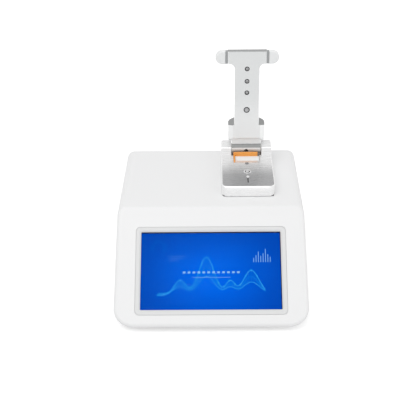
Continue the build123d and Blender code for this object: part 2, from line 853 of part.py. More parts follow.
def arm_body():
    """The arm's metal body: barrel, web, block, neck and head in one piece."""
    plan = extrude(arm_plan(), arm_thickness)
    neck = Pos(0, 0, arm_back) * plan
    neck = chamfer(neck.faces().sort_by(Axis.Z)[-1].edges(), arm_edge)
    body = neck + arm_block()
    lip = body.edges().filter_by(Axis.X).group_by(Axis.Y)[0].sort_by(Axis.Z)[-1]
    body = fillet(lip, block_roll)
    knuckle = rod_x(barrel_radius, 2 * barrel_half)
    web_z = (-web_back, web_underside)
    web = block((-barrel_half, barrel_half), (0, block_start + 0.5), web_z)
    body += knuckle + web
    tenon_mid = (head_start + head_end) / 2
    tenon_z = (arm_underside + arm_back) / 2
    body += Pos(0, tenon_mid, tenon_z) * Box(2 * tenon_half_length, tenon_depth, tenon_thickness)
    body -= rod_x(barrel_bore_radius, barrel_bore_length)
    body -= rod_x(pin_radius + pin_press_gap, 3 * barrel_half)
    port = Rot(cable_port_angle, 0, 0) * Cylinder(cable_port_radius, barrel_radius + 1, align=LOW)
    body -= port
    half = channel_width / 2
    channel_z = (arm_back + channel_depth, -block_back - 2)
    body -= block((-half, half), (block_start + 0.5, channel_end), channel_z)
    web_half = light_guide_radius + 0.6
    body -= block((-web_half, web_half), (0, block_start + 1), (0, -arm_guide_level - web_half))
    recess_half = cover_width / 2 + cover_gap
    recess = (cover_from - cover_gap, cover_to + cover_gap)
    body -= block((-recess_half, recess_half), recess, (arm_back - 1, arm_back + cover_thickness))
    bore = upper_pedestal_radius + pin_press_gap
    body -= Pos(0, hinge_to_pedestal, arm_back + cover_thickness) * Cylinder(bore, 2 * arm_thickness, align=LOW)
    seat = upper_pedestal_flange + counterbore_gap
    body -= Pos(0, hinge_to_pedestal, arm_underside - 1) * Cylinder(seat, 2, align=LOW)
    body -= Pos(0, magnet_from_hinge, arm_underside - 3) * Cylinder(magnet_radius + 0.4, 4, align=LOW)
    for place in arm_screw_from_hinge:
        head = arm_screw_head_radius + counterbore_gap
        body -= Pos(0, place, arm_underside - counterbore_depth) * Cylinder(head, 3, align=LOW)
        body -= Pos(0, place, 0) * Cylinder(1.1, 2 * arm_thickness)
    return ARM * body


def arm_cover():
    """Flush strip that closes the back of the arm over the light guide."""
    strip = block((-cover_width / 2, cover_width / 2), (cover_from, cover_to), (arm_back, arm_back + cover_thickness))
    strip = fillet(strip.edges().filter_by(Axis.Z), 0.8)
    for place in arm_screw_from_hinge:
        strip -= Pos(0, place, arm_back) * Cylinder(1.1, 3)
    return ARM * strip


def arm_hood():
    """Back cover of the block, over the open channel near the hinge."""
    half = block_width / 2 - 2
    top = shoulder_inner + shoulder_rise - 4
    plate = block((-half, half), (block_start + 1, top), (-block_back - 1.6, -block_back))
    plate = chamfer(plate.faces().sort_by(Axis.Z)[0].edges(), 1.0)
    tail = block((-neck_width / 2 + 4, neck_width / 2 - 4), (top, cover_from - 0.3), (arm_back - 1.6, arm_back))
    riser = block((-neck_width / 2 + 4, neck_width / 2 - 4), (top - 2, top + 4.9), (arm_back - 1.6, -block_back - 0.4))
    return ARM * (plate + tail + riser - arm_block())


def arm_screws():
    """Two socket screws in counterbores on the underside."""
    one = screw(arm_screw_head_radius, counterbore_depth - 0.2, 1.0, arm_thickness - counterbore_depth)
    one -= Pos(0, 0, 0.5) * extrude(RegularPolygon(1.1, 6), 3)
    z = arm_underside - counterbore_depth
    return Compound(children=[ARM * (Pos(0, place, z) * one) for place in arm_screw_from_hinge])


def arm_magnet():
    """Small magnet that meets the plinth when the arm is down."""
    disc = Cylinder(magnet_radius, 2.4, align=LOW)
    disc = chamfer(disc.faces().sort_by(Axis.Z)[-1].edges(), 0.4)
    return ARM * (Pos(0, magnet_from_hinge, arm_underside - 3) * disc)


def upper_pedestal():
    """Light guide end in the arm, facing the lower pedestal when closed."""
    stem_length = arm_underside + arm_guide_level + light_guide_radius
    body = Pos(0, 0, arm_underside - 1) * Cylinder(upper_pedestal_flange, 1 + upper_pedestal_drop - 0.3, align=LOW)
    body += Pos(0, 0, arm_underside - stem_length) * Cylinder(upper_pedestal_radius, stem_length, align=LOW)
    body += Pos(0, 0, arm_underside) * Cylinder(pedestal_tip_radius, upper_pedestal_drop, align=LOW)
    return ARM * (Pos(0, hinge_to_pedestal, 0) * body)


def upper_light_guide():
    """Light guide in the arm, from the pedestal to the hollow barrel."""
    length = hinge_to_pedestal - upper_pedestal_radius - light_guide_gap
    guide = Pos(0, length / 2, -arm_guide_level) * Rot(90, 0, 0) * Cylinder(light_guide_radius, length)
    return ARM * guide


def grip_cap(side):
    """Soft rounded end of the head, hollow over the tenon."""
    inner = head_core_width / 2 + grip_gasket_width
    outer = head_width / 2
    mid = (head_start + head_end) / 2
    radius = head_depth / 2
    plan = Pos(outer - 2 * radius, mid) * Rectangle(2 * radius, head_depth)
    plan += Pos(outer - radius, mid) * Circle(radius)
    plan &= Pos((inner + outer) / 2, mid) * Rectangle(outer - inner, head_depth)
    cap = Pos(0, 0, arm_back) * extrude(plan, arm_thickness)
    rims = cap.faces().sort_by(Axis.Z)
    cap = fillet(rims[0].edges() + rims[-1].edges(), cap_edge)
    tenon_z = (arm_underside + arm_back) / 2
    socket_size = (2 * (tenon_half_length + tenon_gap), tenon_depth + 2 * tenon_gap, tenon_thickness + 2 * tenon_gap)
    cap -= Pos(0, mid, tenon_z) * Box(*socket_size)
    return ARM * (cap if side > 0 else mirror(cap, Plane.YZ))


def grip_cap_left():
    return grip_cap(-1)


def grip_cap_right():
    return grip_cap(1)


def grip_gaskets():
    """Two dark rings between the head and its end caps."""
    mid = (head_start + head_end) / 2
    tenon_z = (arm_underside + arm_back) / 2
    step = 2 * grip_gasket_step
    ring = Box(grip_gasket_width, head_depth - step, arm_thickness - step)
    ring -= Box(2 * grip_gasket_width, tenon_depth + 2 * tenon_gap, tenon_thickness + 2 * tenon_gap)
    shift = head_core_width / 2 + grip_gasket_width / 2
    return Compound(children=[ARM * (Pos(side * shift, mid, tenon_z) * ring) for side in (-1, 1)])


def lower_pedestal():
    """Polished column with a stepped tip that the drop sits on."""
    low = carriage_z - pedestal_below_carriage
    high = plinth_top_z + pedestal_rise
    column = Cylinder(pedestal_radius, high - pedestal_tip_height - low, align=LOW)
    column += Pos(0, 0, high - pedestal_tip_height - low) * Cylinder(pedestal_tip_radius, pedestal_tip_height, align=LOW)
    column -= Pos(0, 0, high - low) * Cylinder(0.5, 1.0, align=HIGH)
    column -= Cylinder(light_guide_radius + light_guide_gap, 4, align=LOW)
    return Pos(plinth_x, pedestal_y, low) * column


def lift_carriage():
    """Carriage on two rods that moves the lower pedestal up and down."""
    y0 = lift_mid_y - carriage_length / 2
    body = block(
        (plinth_x - carriage_width / 2, plinth_x + carriage_width / 2),
        (y0, y0 + carriage_length),
        (carriage_z, carriage_z + carriage_thickness),
    )
    body = fillet(body.edges().filter_by(Axis.Z), 5)
    high = 3 * carriage_thickness
    body -= Pos(plinth_x, pedestal_y, carriage_z) * Cylinder(pedestal_radius + pin_press_gap, high)
    body -= Pos(plinth_x, lead_screw_y, carriage_z) * Cylinder(nut_radius + pin_press_gap, high)
    for side in (-1, 1):
        place = (plinth_x + side * guide_rod_spacing / 2, guide_rod_y, carriage_z)
        body -= Pos(*place) * Cylinder(guide_rod_radius + running_gap, high)
    return body


def lift_nut():
    """Brass flanged nut in the carriage."""
    body = Cylinder(nut_radius, carriage_thickness, align=LOW)
    body += Cylinder(nut_flange_radius, nut_flange_thickness, align=HIGH)
    body -= Cylinder(lead_screw_radius + running_gap, 4 * carriage_thickness)
    return Pos(plinth_x, lead_screw_y, carriage_z) * body


def lead_screw():
    """Lead screw that rises out of the motor."""
    low = lift_base_z - motor_bore_depth
    high = mount_plate_z - lead_screw_top_gap
    body = Cylinder(lead_screw_radius, high - low, align=LOW)
    body = chamfer(body.faces().sort_by(Axis.Z)[-1].edges(), 0.6)
    return Pos(plinth_x, lead_screw_y, low) * body


def guide_rods():
    """Two rods between the lift's lower plate and the mount plate."""
    low = lift_base_z + lift_base_thickness
    rod = Cylinder(guide_rod_radius, mount_plate_z - low, align=LOW)
    return Compound(
        children=[Pos(plinth_x + side * guide_rod_spacing / 2, guide_rod_y, low) * rod for side in (-1, 1)]
    )


def lift_base():
    """Lower plate of the lift, with holes for motor boss and light guide."""
    plate = slab(lift_base_width, lift_base_length, 4, lift_base_z, lift_base_z + lift_base_thickness)
    plate = Pos(plinth_x, lift_mid_y, 0) * plate
    plate -= Pos(plinth_x, lead_screw_y, lift_base_z) * Cylinder(motor_boss_radius + 0.1, 10)
    plate -= Pos(plinth_x, pedestal_y, lift_base_z) * Cylinder(pedestal_radius + 1.5, 10)
    return plate


def lift_pillars():
    """Four pillars that hang the lift's lower plate from the mount plate."""
    low = lift_base_z + lift_base_thickness
    pillar = Cylinder(pillar_radius, mount_plate_z - low, align=LOW)
    return Compound(children=[Pos(x, y, low) * pillar for x, y in pillar_places()])


def lift_motor():
    """Small round stepper motor under the lift's lower plate."""
    can = Cylinder(motor_radius, motor_height, align=HIGH)
    can = chamfer(can.faces().sort_by(Axis.Z)[0].edges(), 1.0)
    can += Cylinder(motor_boss_radius, lift_base_thickness - 0.5, align=LOW)
    can += Pos(0, 0, -motor_height / 2) * Box(12, 2 * motor_radius + 6, motor_height - 5)
    can -= Pos(0, 0, -motor_bore_depth) * Cylinder(lead_screw_radius + running_gap, 30, align=LOW)
    return Pos(plinth_x, lead_screw_y, lift_base_z) * can


def case_box(width, depth, height, x_right, y_front):
    """An open-topped case that stands on the base plate."""
    x_span = (x_right - width, x_right)
    y_span = (y_front, y_front + depth)
    high = plate_top_z + height - lid_thickness
    box = block(x_span, y_span, (plate_top_z, high))
    box = fillet(box.edges().filter_by(Axis.Z), 3)
    inner_x = (x_span[0] + case_wall, x_span[1] - case_wall)
    inner_y = (y_span[0] + case_wall, y_span[1] - case_wall)
    return box - block(inner_x, inner_y, (plate_top_z + case_wall, high + 1))


def case_lid(width, depth, height, x_right, y_front):
    """The flat lid of such a case, with a locating rib inside its walls."""
    high = plate_top_z + height
    low = high - lid_thickness
    mid = (x_right - width / 2, y_front + depth / 2, 0)
    lid = Pos(*mid) * slab(width, depth, 3, low, high)
    fit = 2 * (case_wall + 0.3)
    return lid + Pos(*mid) * slab(width - fit, depth - fit, 1, low - 1.5, low)


def spectrometer_case():
    """Optical bench of the spectrometer, with its collimator and grating mounts."""
    sizes = (spectrometer_width, spectrometer_depth, spectrometer_height)
    case = case_box(*sizes, case_right_x, spectrometer_front_y)
    floor = plate_top_z + case_wall
    far_x = case_right_x - spectrometer_width + 22
    mirror_block = Pos(far_x, spectrometer_mid_y, floor) * Rot(0, 0, 20) * Box(5, 22, 22, align=LOW)
    near_x = case_right_x - 26
    grating_block = Pos(near_x, spectrometer_front_y + 14, floor) * Rot(0, 0, -25) * Box(6, 12, 20, align=LOW)
    case += mirror_block + grating_block
    hole_x = case_right_x - case_wall / 2
    case -= Pos(hole_x, pedestal_y, guide_low_z) * rod_x(connector_radius + 0.1, case_wall + 2)
    return case


def spectrometer_lid():
    sizes = (spectrometer_width, spectrometer_depth, spectrometer_height)
    return case_lid(*sizes, case_right_x, spectrometer_front_y)


def detector_board():
    """Detector board on the outside of the spectrometer's left wall."""
    x1 = case_right_x - spectrometer_width
    y_span = (spectrometer_front_y + 8, spectrometer_front_y + spectrometer_depth - 8)
    z_span = (plate_top_z + 3, plate_top_z + spectrometer_height - 5)
    return block((x1 - detector_board_thickness, x1), y_span, z_span)


def lamp_case():
    """Shielded case of the flash lamp."""
    case = case_box(lamp_width, lamp_depth, lamp_height, case_right_x, lamp_front_y)
    bulb_x = case_right_x - lamp_width / 2
    bulb_y = lamp_front_y + lamp_depth / 2
    case += Pos(bulb_x, bulb_y, plate_top_z + case_wall) * Cylinder(9, 12, align=LOW)
    hole_x = case_right_x - case_wall / 2
    case -= Pos(hole_x, lamp_port_y, guide_low_z) * rod_x(connector_radius + 0.1, case_wall + 2)
    return case


def lamp_lid():
    return case_lid(lamp_width, lamp_depth, lamp_height, case_right_x, lamp_front_y)


def fibre_connectors():
    """Screwed light guide connectors on the spectrometer and the lamp."""
    low_x = case_right_x - case_wall
    body = Pos(low_x + (case_wall + connector_length) / 2, 0, 0) * rod_x(
        connector_radius, case_wall + connector_length
    )
    nut_x = case_right_x + connector_nut_length / 2 + 1
    body += Pos(nut_x, 0, 0) * rod_x(connector_nut_radius, connector_nut_length)
    end_x = case_right_x + connector_length
    bore = rod_x(light_guide_radius + light_guide_gap, 2 * connector_bore_depth)
    body -= Pos(end_x, 0, 0) * bore
    return Compound(children=[Pos(0, y, guide_low_z) * body for y in (pedestal_y, lamp_port_y)])


def light_guide(points):
    """A round guide along straight runs joined by large arcs."""
    corners = [Vector(*p) for p in points]
    radii = []
    for before, here, after in zip(corners, corners[1:], corners[2:]):
        incoming = here - before
        outgoing = after - here
        turn = math.radians(incoming.get_angle(outgoing))
        shorter = min(incoming.length, outgoing.length)
        radii.append(0.45 * shorter / math.tan(turn / 2))
    print("light guide radii", [round(r, 1) for r in radii])
    path = FilletPolyline(*points, radius=radii)
    section = Plane(origin=path @ 0, z_dir=path % 0) * Circle(light_guide_radius)
    guide = sweep(section, path)
    expected = math.pi * light_guide_radius**2 * path.length
    print("light guide volume", round(guide.volume, 1), "of", round(expected, 1))
    return guide


def lower_light_guide():
    """Guide from the lower pedestal down and across to the spectrometer."""
    top = carriage_z - pedestal_below_carriage - 1.5
    end_x = case_right_x + connector_length - connector_bore_depth + 0.2
    return light_guide(
        [
            (plinth_x, pedestal_y, top),
            (plinth_x - 2, pedestal_y, guide_low_z + 14),
            (plinth_x - 18, pedestal_y, guide_low_z),
            (end_x, pedestal_y, guide_low_z),
        ]
    )


def lamp_light_guide():
    """Guide from the lamp across and up into the plinth's slot."""
    end_x = case_right_x + connector_length - connector_bore_depth + 0.2
    return light_guide(
        [
            (plinth_x, lamp_guide_y, plinth_top_z - slot_depth + 3),
            (plinth_x, lamp_guide_y, guide_low_z + 34),
            (plinth_x - 17, lamp_port_y, guide_low_z),
            (end_x, lamp_port_y, guide_low_z),
        ]
    )


def board_corners(width, depth, x_mid, y_front):
    """Standoff places under a board."""
    half = width / 2 - standoff_inset
    rows = (y_front + standoff_inset, y_front + depth - standoff_inset)
    return [(x_mid + x, y) for x in (-half, half) for y in rows]


def board(width, depth, x_mid, y_front, z, parts):
    """A circuit board with its parts as low blocks (x, y, width, depth, height)."""
    x0 = x_mid - width / 2
    plate = block((x0, x0 + width), (y_front, y_front + depth), (z, z + board_thickness))
    for x, y, across, along, high in parts:
        span = (z + board_thickness, z + board_thickness + high)
        plate += block((x0 + x, x0 + x + across), (y_front + y, y_front + y + along), span)
    return plate


def main_board():
    """Controller board."""
    parts = [(8, 20, 22, 22, 2.5), (34, 18, 14, 18, 2), (40, 44, 22, 8, 6), (8, 52, 24, 7, 6), (54, 12, 10, 12, 5)]
    return board(main_board_width, main_board_depth, main_board_x, main_board_front_y, board_z, parts)


def power_board():
    """Power board with its coil and capacitors."""
    parts = [(5, 8, 14, 14, 10), (23, 8, 8, 8, 10), (6, 30, 24, 8, 7)]
    return board(power_board_width, power_board_depth, power_board_x, power_board_front_y, board_z, parts)


def board_standoffs():
    """Standoffs under both boards."""
    places = board_corners(main_board_width, main_board_depth, main_board_x, main_board_front_y)
    places += board_corners(power_board_width, power_board_depth, power_board_x, power_board_front_y)
    one = Cylinder(standoff_radius, standoff_height, align=LOW)
    return Compound(children=[Pos(x, y, plate_top_z) * one for x, y in places])


def rear_panel():
    """Metal panel with cut-outs for sockets and switch, and a row of air slots."""
    plate = block(
        (-panel_width / 2, panel_width / 2),
        (panel_front_y, panel_back_y),
        (panel_low, panel_low + panel_height),
    )
    plate = fillet(plate.edges().filter_by(Axis.Y), panel_corner)
    through = (panel_front_y - 1, panel_back_y + 1)
    gap = socket_hole_gap
    for x in usb_a_positions:
        half_x = usb_a_width / 2 + gap
        half_z = usb_a_height / 2 + gap
        plate -= block((x - half_x, x + half_x), through, (socket_z - half_z, socket_z + half_z))
    half_x = usb_b_width / 2 + gap
    half_z = usb_b_height / 2 + gap
    x = usb_b_position
    plate -= block((x - half_x, x + half_x), through, (socket_z - half_z, socket_z + half_z))
    plate -= rod_y(inlet_radius + gap, *through, inlet_position, socket_z)
    half_x = switch_width / 2 + gap
    half_z = switch_height / 2 + gap
    x = switch_position
    plate -= block((x - half_x, x + half_x), through, (socket_z - half_z, socket_z + half_z))
    for x, z in panel_screw_places():
        plate -= rod_y(screw_hole_radius, *through, x, z)
    first = -vent_pitch * (vent_count - 1) / 2
    z0 = panel_low + vent_above_panel_low - vent_height / 2
    for index in range(vent_count):
        x = first + index * vent_pitch
        plate -= block((x - vent_width / 2, x + vent_width / 2), through, (z0, z0 + vent_height))
    return plate


def panel_screws():
    """Four screws at the panel's corners."""
    one = screw(screw_head_radius, screw_head_height, screw_radius, panel_thickness + 2)
    out = Plane(origin=(0, panel_back_y, 0), x_dir=(1, 0, 0), z_dir=(0, 1, 0))
    return Compound(children=[out * (Pos(x, -z, 0) * one) for x, z in panel_screw_places()])


def socket_shell(width, height, depth, x):
    """A rectangular metal socket, open to the rear, with its mouth flush with the panel."""
    y1 = panel_back_y + 0.4
    y0 = y1 - depth
    half_x = width / 2
    half_z = height / 2
    body = block((x - half_x, x + half_x), (y0, y1), (socket_z - half_z, socket_z + half_z))
    half_x -= socket_wall
    half_z -= socket_wall
    mouth = block((x - half_x, x + half_x), (y0 + 1.5, y1 + 1), (socket_z - half_z, socket_z + half_z))
    return body - mouth


def usb_a_sockets():
    """Two flat sockets with their tongues."""
    sockets = []
    for x in usb_a_positions:
        body = socket_shell(usb_a_width, usb_a_height, usb_a_depth, x)
        tongue_z = (socket_z + 0.3, socket_z + 1.9)
        y1 = panel_back_y - 1.5
        body += block((x - 5.2, x + 5.2), (panel_back_y + 0.4 - usb_a_depth + 1, y1), tongue_z)
        sockets.append(body)
    return Compound(children=sockets)


def usb_b_socket():
    """Square socket with a centre tongue."""
    body = socket_shell(usb_b_width, usb_b_height, usb_b_depth, usb_b_position)
    x = usb_b_position
    y0 = panel_back_y + 0.4 - usb_b_depth + 1
    return body + block((x - 2.8, x + 2.8), (y0, panel_back_y - 1.5), (socket_z - 1.6, socket_z + 1.6))


def io_board():
    """Board that carries the sockets, on two posts of the base plate."""
    y1 = panel_front_y - 0.5
    x0 = usb_b_position - usb_b_width / 2 - io_board_side
    x1 = usb_a_positions[-1] + usb_a_width / 2 + io_board_side
    z = socket_z - usb_b_height / 2 - board_thickness
    body = block((x0, x1), (y1 - io_board_depth, y1), (z, z + board_thickness))
    riser = (socket_z - usb_a_height / 2, z + board_thickness)
    for x in usb_a_positions:
        body += block((x - 4, x + 4), (y1 - 8, y1 - 3), riser)
    for x in (x0 + 4, x1 - 4):
        body += Pos(x, y1 - io_board_depth + 4, plate_top_z) * Cylinder(3, z - plate_top_z, align=LOW)
    return body


def dc_inlet():
    """Round power inlet with its centre pin."""
    y1 = panel_back_y + inlet_flange_thickness
    body = rod_y(inlet_radius, panel_back_y - inlet_depth, y1, inlet_position, socket_z)
    body += rod_y(inlet_flange_radius, panel_back_y, y1, inlet_position, socket_z)
    body -= rod_y(inlet_bore_radius, y1 - 9, y1 + 1, inlet_position, socket_z)
    body += rod_y(inlet_pin_radius, y1 - 10, y1 - 1, inlet_position, socket_z)
    return body


def switch_body():
    """Frame and barrel of the power switch, hollow for its rocker."""
    x = switch_position
    y1 = panel_back_y + switch_flange_thickness
    half_x = switch_width / 2
    half_z = switch_height / 2
    body = block((x - half_x, x + half_x), (panel_back_y - switch_depth, y1), (socket_z - half_z, socket_z + half_z))
    rim_x = half_x + switch_flange
    rim_z = half_z + switch_flange
    rim = block((x - rim_x, x + rim_x), (panel_back_y, y1), (socket_z - rim_z, socket_z + rim_z))
    rim = chamfer(rim.faces().sort_by(Axis.Y)[-1].edges(), 0.6)
    body += rim
    hole_x = rocker_width / 2 + rocker_gap
    hole_z = rocker_height / 2 + rocker_gap + 0.3
    hollow = block((x - hole_x, x + hole_x), (panel_back_y - switch_depth + 3, y1 + 1), (socket_z - hole_z, socket_z + hole_z))
    body -= hollow
    axle = Pos(x, panel_back_y - 2.5, socket_z) * rod_x(rocker_axle_radius + 0.05, switch_width - 1)
    return body - axle


def switch_rocker():
    """Rocker with two sloping faces, pivoting on its own short axle, at rest in its off position."""
    half_z = rocker_height / 2
    face_y = panel_back_y + switch_flange_thickness
    rise = half_z * math.tan(math.radians(rocker_tilt))
    pivot_y = panel_back_y - 2.5
    profile = Polyline(
        (face_y - rise, -half_z),
        (face_y + 0.4, 0),
        (face_y - rise, half_z),
        (pivot_y + 0.5, half_z),
        (pivot_y - 3.5, 2.5),
        (pivot_y - 3.5, -2.5),
        (pivot_y + 0.5, -half_z),
        close=True,
    )
    side = Plane(origin=(-rocker_width / 2, 0, 0), x_dir=(0, 1, 0), z_dir=(1, 0, 0))
    body = extrude(side * make_face(profile), rocker_width, dir=(1, 0, 0))
    body = fillet(body.edges().filter_by(Axis.X).group_by(Axis.Y)[-1], 0.6)
    body += Pos(0, pivot_y, 0) * rod_x(rocker_axle_radius, switch_width - 2)
    turned = Pos(0, pivot_y, 0) * Rot(-rocker_tilt, 0, 0) * Pos(0, -pivot_y, 0) * body
    return Pos(switch_position, 0, socket_z) * turned


nodes = [
    top_shell,
    base_plate,
    rubber_feet,
    case_screws,
    display_bezel,
    touch_glass,
    lcd_module,
    display_bracket,
    display_screws,
    driver_board,
    plinth,
    plinth_gasket,
    plinth_bolts,
    mount_plate,
    pedestal_bush,
    rest_screw,
    cable_guard,
    hinge_bushes,
    hinge_pins,
    hinge_washers,
    arm_body,
    arm_cover,
    arm_hood,
    arm_screws,
    arm_magnet,
    upper_pedestal,
    upper_light_guide,
    grip_cap_left,
    grip_cap_right,
    grip_gaskets,
    lower_pedestal,
    lift_carriage,
    lift_nut,
    lead_screw,
    guide_rods,
    lift_base,
    lift_pillars,
    lift_motor,
    spectrometer_case,
    spectrometer_lid,
    detector_board,
    lamp_case,
    lamp_lid,
    fibre_connectors,
    lower_light_guide,
    lamp_light_guide,
    main_board,
    power_board,
    board_standoffs,
    rear_panel,
    panel_screws,
    usb_a_sockets,
    usb_b_socket,
    io_board,
    dc_inlet,
    switch_body,
    switch_rocker,
]

os.makedirs("parts", exist_ok=True)
for node in nodes:
    export_step(node(), f"parts/{node.__name__}.step")
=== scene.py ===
import math

import bpy
from bpy.props import FloatProperty, FloatVectorProperty, PointerProperty
from bpy.types import Operator, Panel, PropertyGroup
from mathutils import Matrix, Vector


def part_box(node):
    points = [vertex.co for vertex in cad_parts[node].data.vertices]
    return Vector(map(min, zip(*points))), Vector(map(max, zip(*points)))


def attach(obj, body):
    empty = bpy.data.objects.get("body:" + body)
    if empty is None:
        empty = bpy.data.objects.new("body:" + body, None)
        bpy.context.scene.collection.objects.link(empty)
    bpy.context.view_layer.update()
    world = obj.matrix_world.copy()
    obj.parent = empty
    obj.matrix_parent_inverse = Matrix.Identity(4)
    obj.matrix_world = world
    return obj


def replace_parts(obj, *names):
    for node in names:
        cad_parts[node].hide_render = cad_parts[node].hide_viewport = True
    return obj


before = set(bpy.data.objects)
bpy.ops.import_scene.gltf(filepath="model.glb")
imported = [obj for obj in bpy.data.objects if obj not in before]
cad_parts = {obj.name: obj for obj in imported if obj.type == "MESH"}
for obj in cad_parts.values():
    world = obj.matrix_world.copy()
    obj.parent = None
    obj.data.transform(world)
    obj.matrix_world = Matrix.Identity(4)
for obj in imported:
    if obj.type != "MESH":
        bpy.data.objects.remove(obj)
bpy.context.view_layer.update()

bl_info = {
    "name": "Microvolume spectrophotometer dressing",
    "version": (1, 0, 0),
    "blender": (4, 5, 0),
    "location": "View3D > Sidebar > Instrument",
    "description": "Finishes, screen, fasteners, studio and camera for a bench spectrophotometer",
    "category": "Object",
}

# The scene is in metres, +Z is up and the screen faces -Y. MM turns the plain sizes below,
# which are in millimetres, into metres.
MM = 0.001

# Places read from the frame
GLASS_LOW, GLASS_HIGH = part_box("touch_glass")
PANEL_LOW, PANEL_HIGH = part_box("rear_panel")
PLINTH_LOW, PLINTH_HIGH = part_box("plinth")
PINS_LOW, PINS_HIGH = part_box("hinge_pins")
SOCKETS_LOW, SOCKETS_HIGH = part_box("usb_a_sockets")

# The sloping front face and the lit screen behind its glass
FRONT_TILT = math.radians(48.1)
FACE_NORMAL = Vector((0, -math.cos(FRONT_TILT), math.sin(FRONT_TILT)))
FACE_UP = Vector((0, math.sin(FRONT_TILT), math.cos(FRONT_TILT)))
GLASS_THICKNESS = 1.1 * MM
SCREEN_CENTRE = (GLASS_LOW + GLASS_HIGH) / 2 - FACE_NORMAL * (GLASS_THICKNESS / 2)
PICTURE_LEFT, PICTURE_RIGHT = -76.9, 76.2
PICTURE_LOW, PICTURE_HIGH = -43.1, 42.2
PICTURE_COLUMNS, PICTURE_ROWS = 24, 14

# How far the picture and the layers of its artwork lie in front of the glass's rear face
PICTURE_DEPTH = 0.10
RUNG_DEPTH, FAINT_DEPTH, CHART_DEPTH, DOT_DEPTH, LABEL_DEPTH = 0.14, 0.16, 0.18, 0.20, 0.22

# The picture's glow, in shares of its width and height
GLOW_CENTRE = (0.50, 0.42, 0)
GLOW_STRETCH = (1.45, 1.15, 0)
GLOW_HAZE = 0.22
GLOW_NEAR, GLOW_FAR = 0.11, 1.03

# The made-up chart: its ground line, and each hump's middle, width and height
CHART_START, CHART_STEP, CHART_STEPS = -58, 1.5, 79
CHART_GROUND = -27
CHART_HUMPS = ((-34, 9, 16), (-5, 12, 42), (21, 7, 15), (44, 12, 27))
BAR_HEIGHTS = (5, 8, 12, 7, 10, 15, 9, 6)
FAINT, LINE, PALE = 0, 1, 2

# The arm's own axes: across, along from the hinge, and out of its underside
ARM_LEAN = math.radians(3.0)
HINGE = (PINS_LOW + PINS_HIGH) / 2
ARM_ALONG = Vector((0, math.sin(ARM_LEAN), math.cos(ARM_LEAN)))
ARM_OUT = Vector((0, -math.cos(ARM_LEAN), math.sin(ARM_LEAN)))
ARM_UNDERSIDE = 4.1
ARM_SCREWS = (86.0, 101.0)
ARM_PEDESTAL = 50.5
ARM_MAGNET = 72.0
ARM_TURN = (math.pi / 2 - ARM_LEAN, 0, 0)
# Up to the first height above the hinge the arm's face carries a painted white reflection, which fades out by
# the second.
ARM_REFLECTION_TO, ARM_REFLECTION_GONE_FROM = 14, 75

# The arm's dark rings of painted shade, and the skirt: its ends along the arm and its section across and out
PEDESTAL_SHADE_RING, MAGNET_SHADE_RING, SCREW_SHADE_RING = 3.0, 2.25, 2.3
SHADE_RING_TUBE = 0.55
SHADE_RING_SINK = 0.05
SKIRT_ENDS = (6.6, 12.6)
SKIRT_HALF, SKIRT_INNER = 21.6, 19.6
SKIRT_TOP, SKIRT_EDGE, SKIRT_LOW = -5.7, -7.0, -8.6

# The plinth, from its front, its underside, the hinge and the guard's sides
PLINTH_TOP = 12.7
# The two insets bound the plinth's painted reflection: bright from the rear, darker towards the front.
PLINTH_REFLECTION_BRIGHT_INSET, PLINTH_REFLECTION_DARK_INSET = 30, 20
STRIP_FRONT, STRIP_REAR = 21.3, 11.4
STRIP_LEFT, STRIP_RIGHT = 2.1, 1.9
STRIP_FLOOR = 10.2
STRIP_FRONT_HEIGHT, STRIP_REAR_HEIGHT = 0.65, 1.6
GROOVE_FRONT, GROOVE_EYE = 9.1, 23.0
GROOVE_HALF, GROOVE_DEPTH = 0.7, 0.75
EYE_RINGS = ((1.8, -0.75), (1.8, -0.45), (1.2, -0.30))
EYE_STEPS = 24

# Directions
UP, FORWARD, BACKWARD = (0, 0, 1), (0, -1, 0), (0, 1, 0)

# Screws: head radius and height, shank radius and length, socket radius and depth
ARM_SCREW = (2.1, 1.4, 1.0, 5.9, 1.1, 0.9)
PANEL_SCREW = (2.8, 1.8, 1.45, 4.0, 1.4, 1.1)
CASE_SCREW = (2.8, 1.8, 1.45, 5.0, 1.4, 1.1)
PANEL_SCREW_INSET = 5.0
ARM_SCREW_SINK = 0.2

# Contacts in the flat sockets
SOCKET_HALF = 6.6
CONTACT_COUNT, CONTACT_PITCH = 4, 2.4
CONTACT_SIZE = (1.1, 6.5, 0.25)
CONTACT_INSET, CONTACT_RISE = 5.4, 0.2

# The camera in metres, matched to the photograph's view
CAMERA_AIM = Vector((-0.003, -0.0207, 0.09783))
CAMERA_DISTANCE = 0.9065
CAMERA_DROP = math.radians(32.0)
CAMERA_HEADING = math.radians(-0.6)
CAMERA_ROLL = math.radians(0.7)
CAMERA_FOCAL_PIXELS = 810.7
IMAGE_PIXELS = 416
SENSOR_WIDTH = 36.0


def colour_property(name, description, default):
    """A colour that the user can change."""
    return FloatVectorProperty(
        name=name, description=description, default=default, subtype="COLOR", size=3, min=0.0, max=1.0
    )


def level_property(name, description, default, unit="NONE"):
    """A strength or power that the user can change."""
    return FloatProperty(name=name, description=description, default=default, min=0.0, unit=unit)


class PlasticSettings(PropertyGroup):
    """Colours of moulded and rubber parts"""

    housing: colour_property("Housing", "Colour of the moulded housing", (0.85, 0.852, 0.855))
    bezel: colour_property("Bezel", "Colour of the frame round the screen", (0.735, 0.74, 0.74))
    base: colour_property("Base", "Colour of the plate under the housing", (0.36, 0.37, 0.38))
    # The rubber colour also colours the arm's dark rings, which are painted shade.
    rubber: colour_property("Rubber", "Colour of the feet and the arm's rings", (0.02, 0.02, 0.022))
    seal: colour_property("Seal", "Colour of the gaskets beside the end caps", (0.36, 0.37, 0.375))
    guard: colour_property("Guard", "Colour of the guard in front of the hinge", (0.90, 0.37, 0.07))
    grip: colour_property("Grip", "Colour of the arm's end caps", (0.86, 0.87, 0.87))


